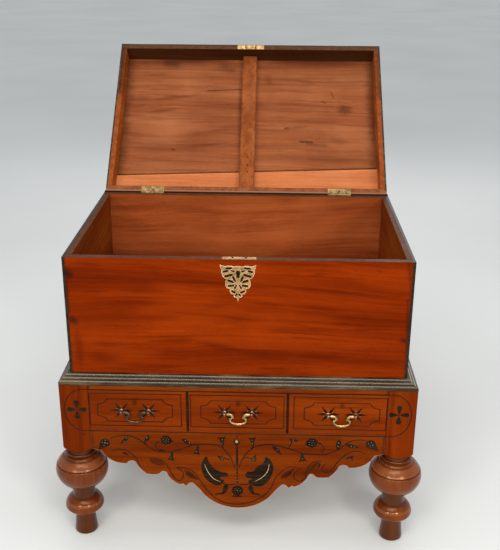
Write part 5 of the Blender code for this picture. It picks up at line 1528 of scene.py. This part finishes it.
NODE_LOOKS = {
    "front": ("box_front",),
    "back": ("box_back", "box_floor"),
    "ends": ("box_left", "box_right"),
    "lid": ("lid_board_main",),
    "pale": ("lid_board_narrow",),
    "lid_front": ("lid_rail_front",),
    "lid_back": ("lid_rail_back",),
    "lid_side": ("lid_rail_left", "lid_rail_right"),
    "batten": ("lid_batten",),
    "stand": ("apron_front", "rail_top_front", "rail_back"),
    "drawer": tuple(f"drawer_front_{name}" for name in DRAWERS),
    "side": ("rail_left", "rail_right"),
    "ebony_end": ("box_edging_left", "box_edging_right"),
    "inlay": ("divider_left", "divider_right"),
    "leg": LEGS,
    "inner": tuple(f"drawer_side_{name}_{side}" for name in DRAWERS for side in SIDES),
    "inner_cross": ("drawer_bearers", *(f"drawer_{part}_{name}" for name in DRAWERS
                                        for part in ("back", "bottom"))),
    "ebony": ("moulding",),
    "lid_edging": ("lid_edging",),
    "brass": (*(f"handle_post_{name}_{side}" for name in DRAWERS for side in SIDES),
              *(f"handle_bail_{name}" for name in DRAWERS)),
    "bright_brass": ("escutcheon", "lock_case", "link_plate"),
    "worn_brass": ("hinge_leaf_lid_left", "hinge_leaf_lid_right"),
    # The box's hinge leaves, darker than the lid's: dirt, and painted shade
    "dull_brass": ("hinge_leaf_box_left", "hinge_leaf_box_right"),
    "steel": ("lock_bolt",),
}
WORN_ARRIS = 0.0018        # how wide the apron's arrises are rounded, down to paler wood: worn, and a painted highlight


def round_and_highlight_edges(worn_and_highlight_look):
    """Round the arrises of the apron and give them paler wood: wear, and a painted highlight where they
    catch the light.
    """
    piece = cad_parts["apron_front"]
    piece.data.materials.append(worn_and_highlight_look)
    flat = piece.modifiers.new("flat", "DECIMATE")
    flat.decimate_type = "DISSOLVE"
    flat.angle_limit = radians(1.0)
    worn = piece.modifiers.new("worn", "BEVEL")
    worn.width = WORN_ARRIS
    worn.segments = 2
    worn.limit_method = "ANGLE"
    worn.angle_limit = radians(50.0)
    worn.material = len(piece.data.materials) - 1


def varnish_outside(look, end_look):
    """The lid is varnished outside, as the box is."""
    ahead, out = lid_axes()
    outsides = {
        "lid_rail_left": lambda normal: normal.x < -0.9,
        "lid_rail_right": lambda normal: normal.x > 0.9,
        "lid_rail_front": lambda normal: normal.dot(ahead) > 0.9,
        "lid_rail_back": lambda normal: normal.dot(ahead) < -0.9,
        "lid_board_main": lambda normal: normal.dot(out) < 0.5,
        "lid_board_narrow": lambda normal: normal.dot(out) < 0.5,
    }
    for name, shows in outsides.items():
        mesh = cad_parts[name].data
        mesh.materials.append(end_look if name in ("lid_rail_left", "lid_rail_right") else look)
        for face in mesh.polygons:
            if shows(face.normal):
                face.material_index = len(mesh.materials) - 1


def dress_nodes(looks):
    """Give each CAD node its material, and weld its facets."""
    for look, nodes in NODE_LOOKS.items():
        for name in nodes:
            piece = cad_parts[name]
            slots = piece.data.materials
            if not slots:
                slots.append(None)
            for index in range(len(slots)):
                slots[index] = looks[look]
            weld = piece.modifiers.new("weld", "WELD")
            weld.merge_threshold = 0.00001


make_camera()
looks = make_materials()
make_stage()
dress_nodes(looks)
varnish_outside(looks["outside"], looks["outside_end"])
round_and_highlight_edges(looks["worn_and_highlight_wood"])
make_legs(looks["leg"], looks["block"])
make_moulding(looks["fascia"], looks["reeds"], looks["fillet"])
make_handles(looks["post_brass"], looks["bright_brass"], looks["brass"])
make_escutcheon(looks["plate_brass"], looks["rim_brass"], looks["inlay"])
make_hinge_screws(looks["brass"])
make_back_shade_beads(looks["inlay"])
make_apron_inlay(looks["inlay"], looks["bone"], looks["scorched"])
make_frieze_inlay(looks["inlay"])
make_drawer_inlay(looks["inlay"], looks["bone"])
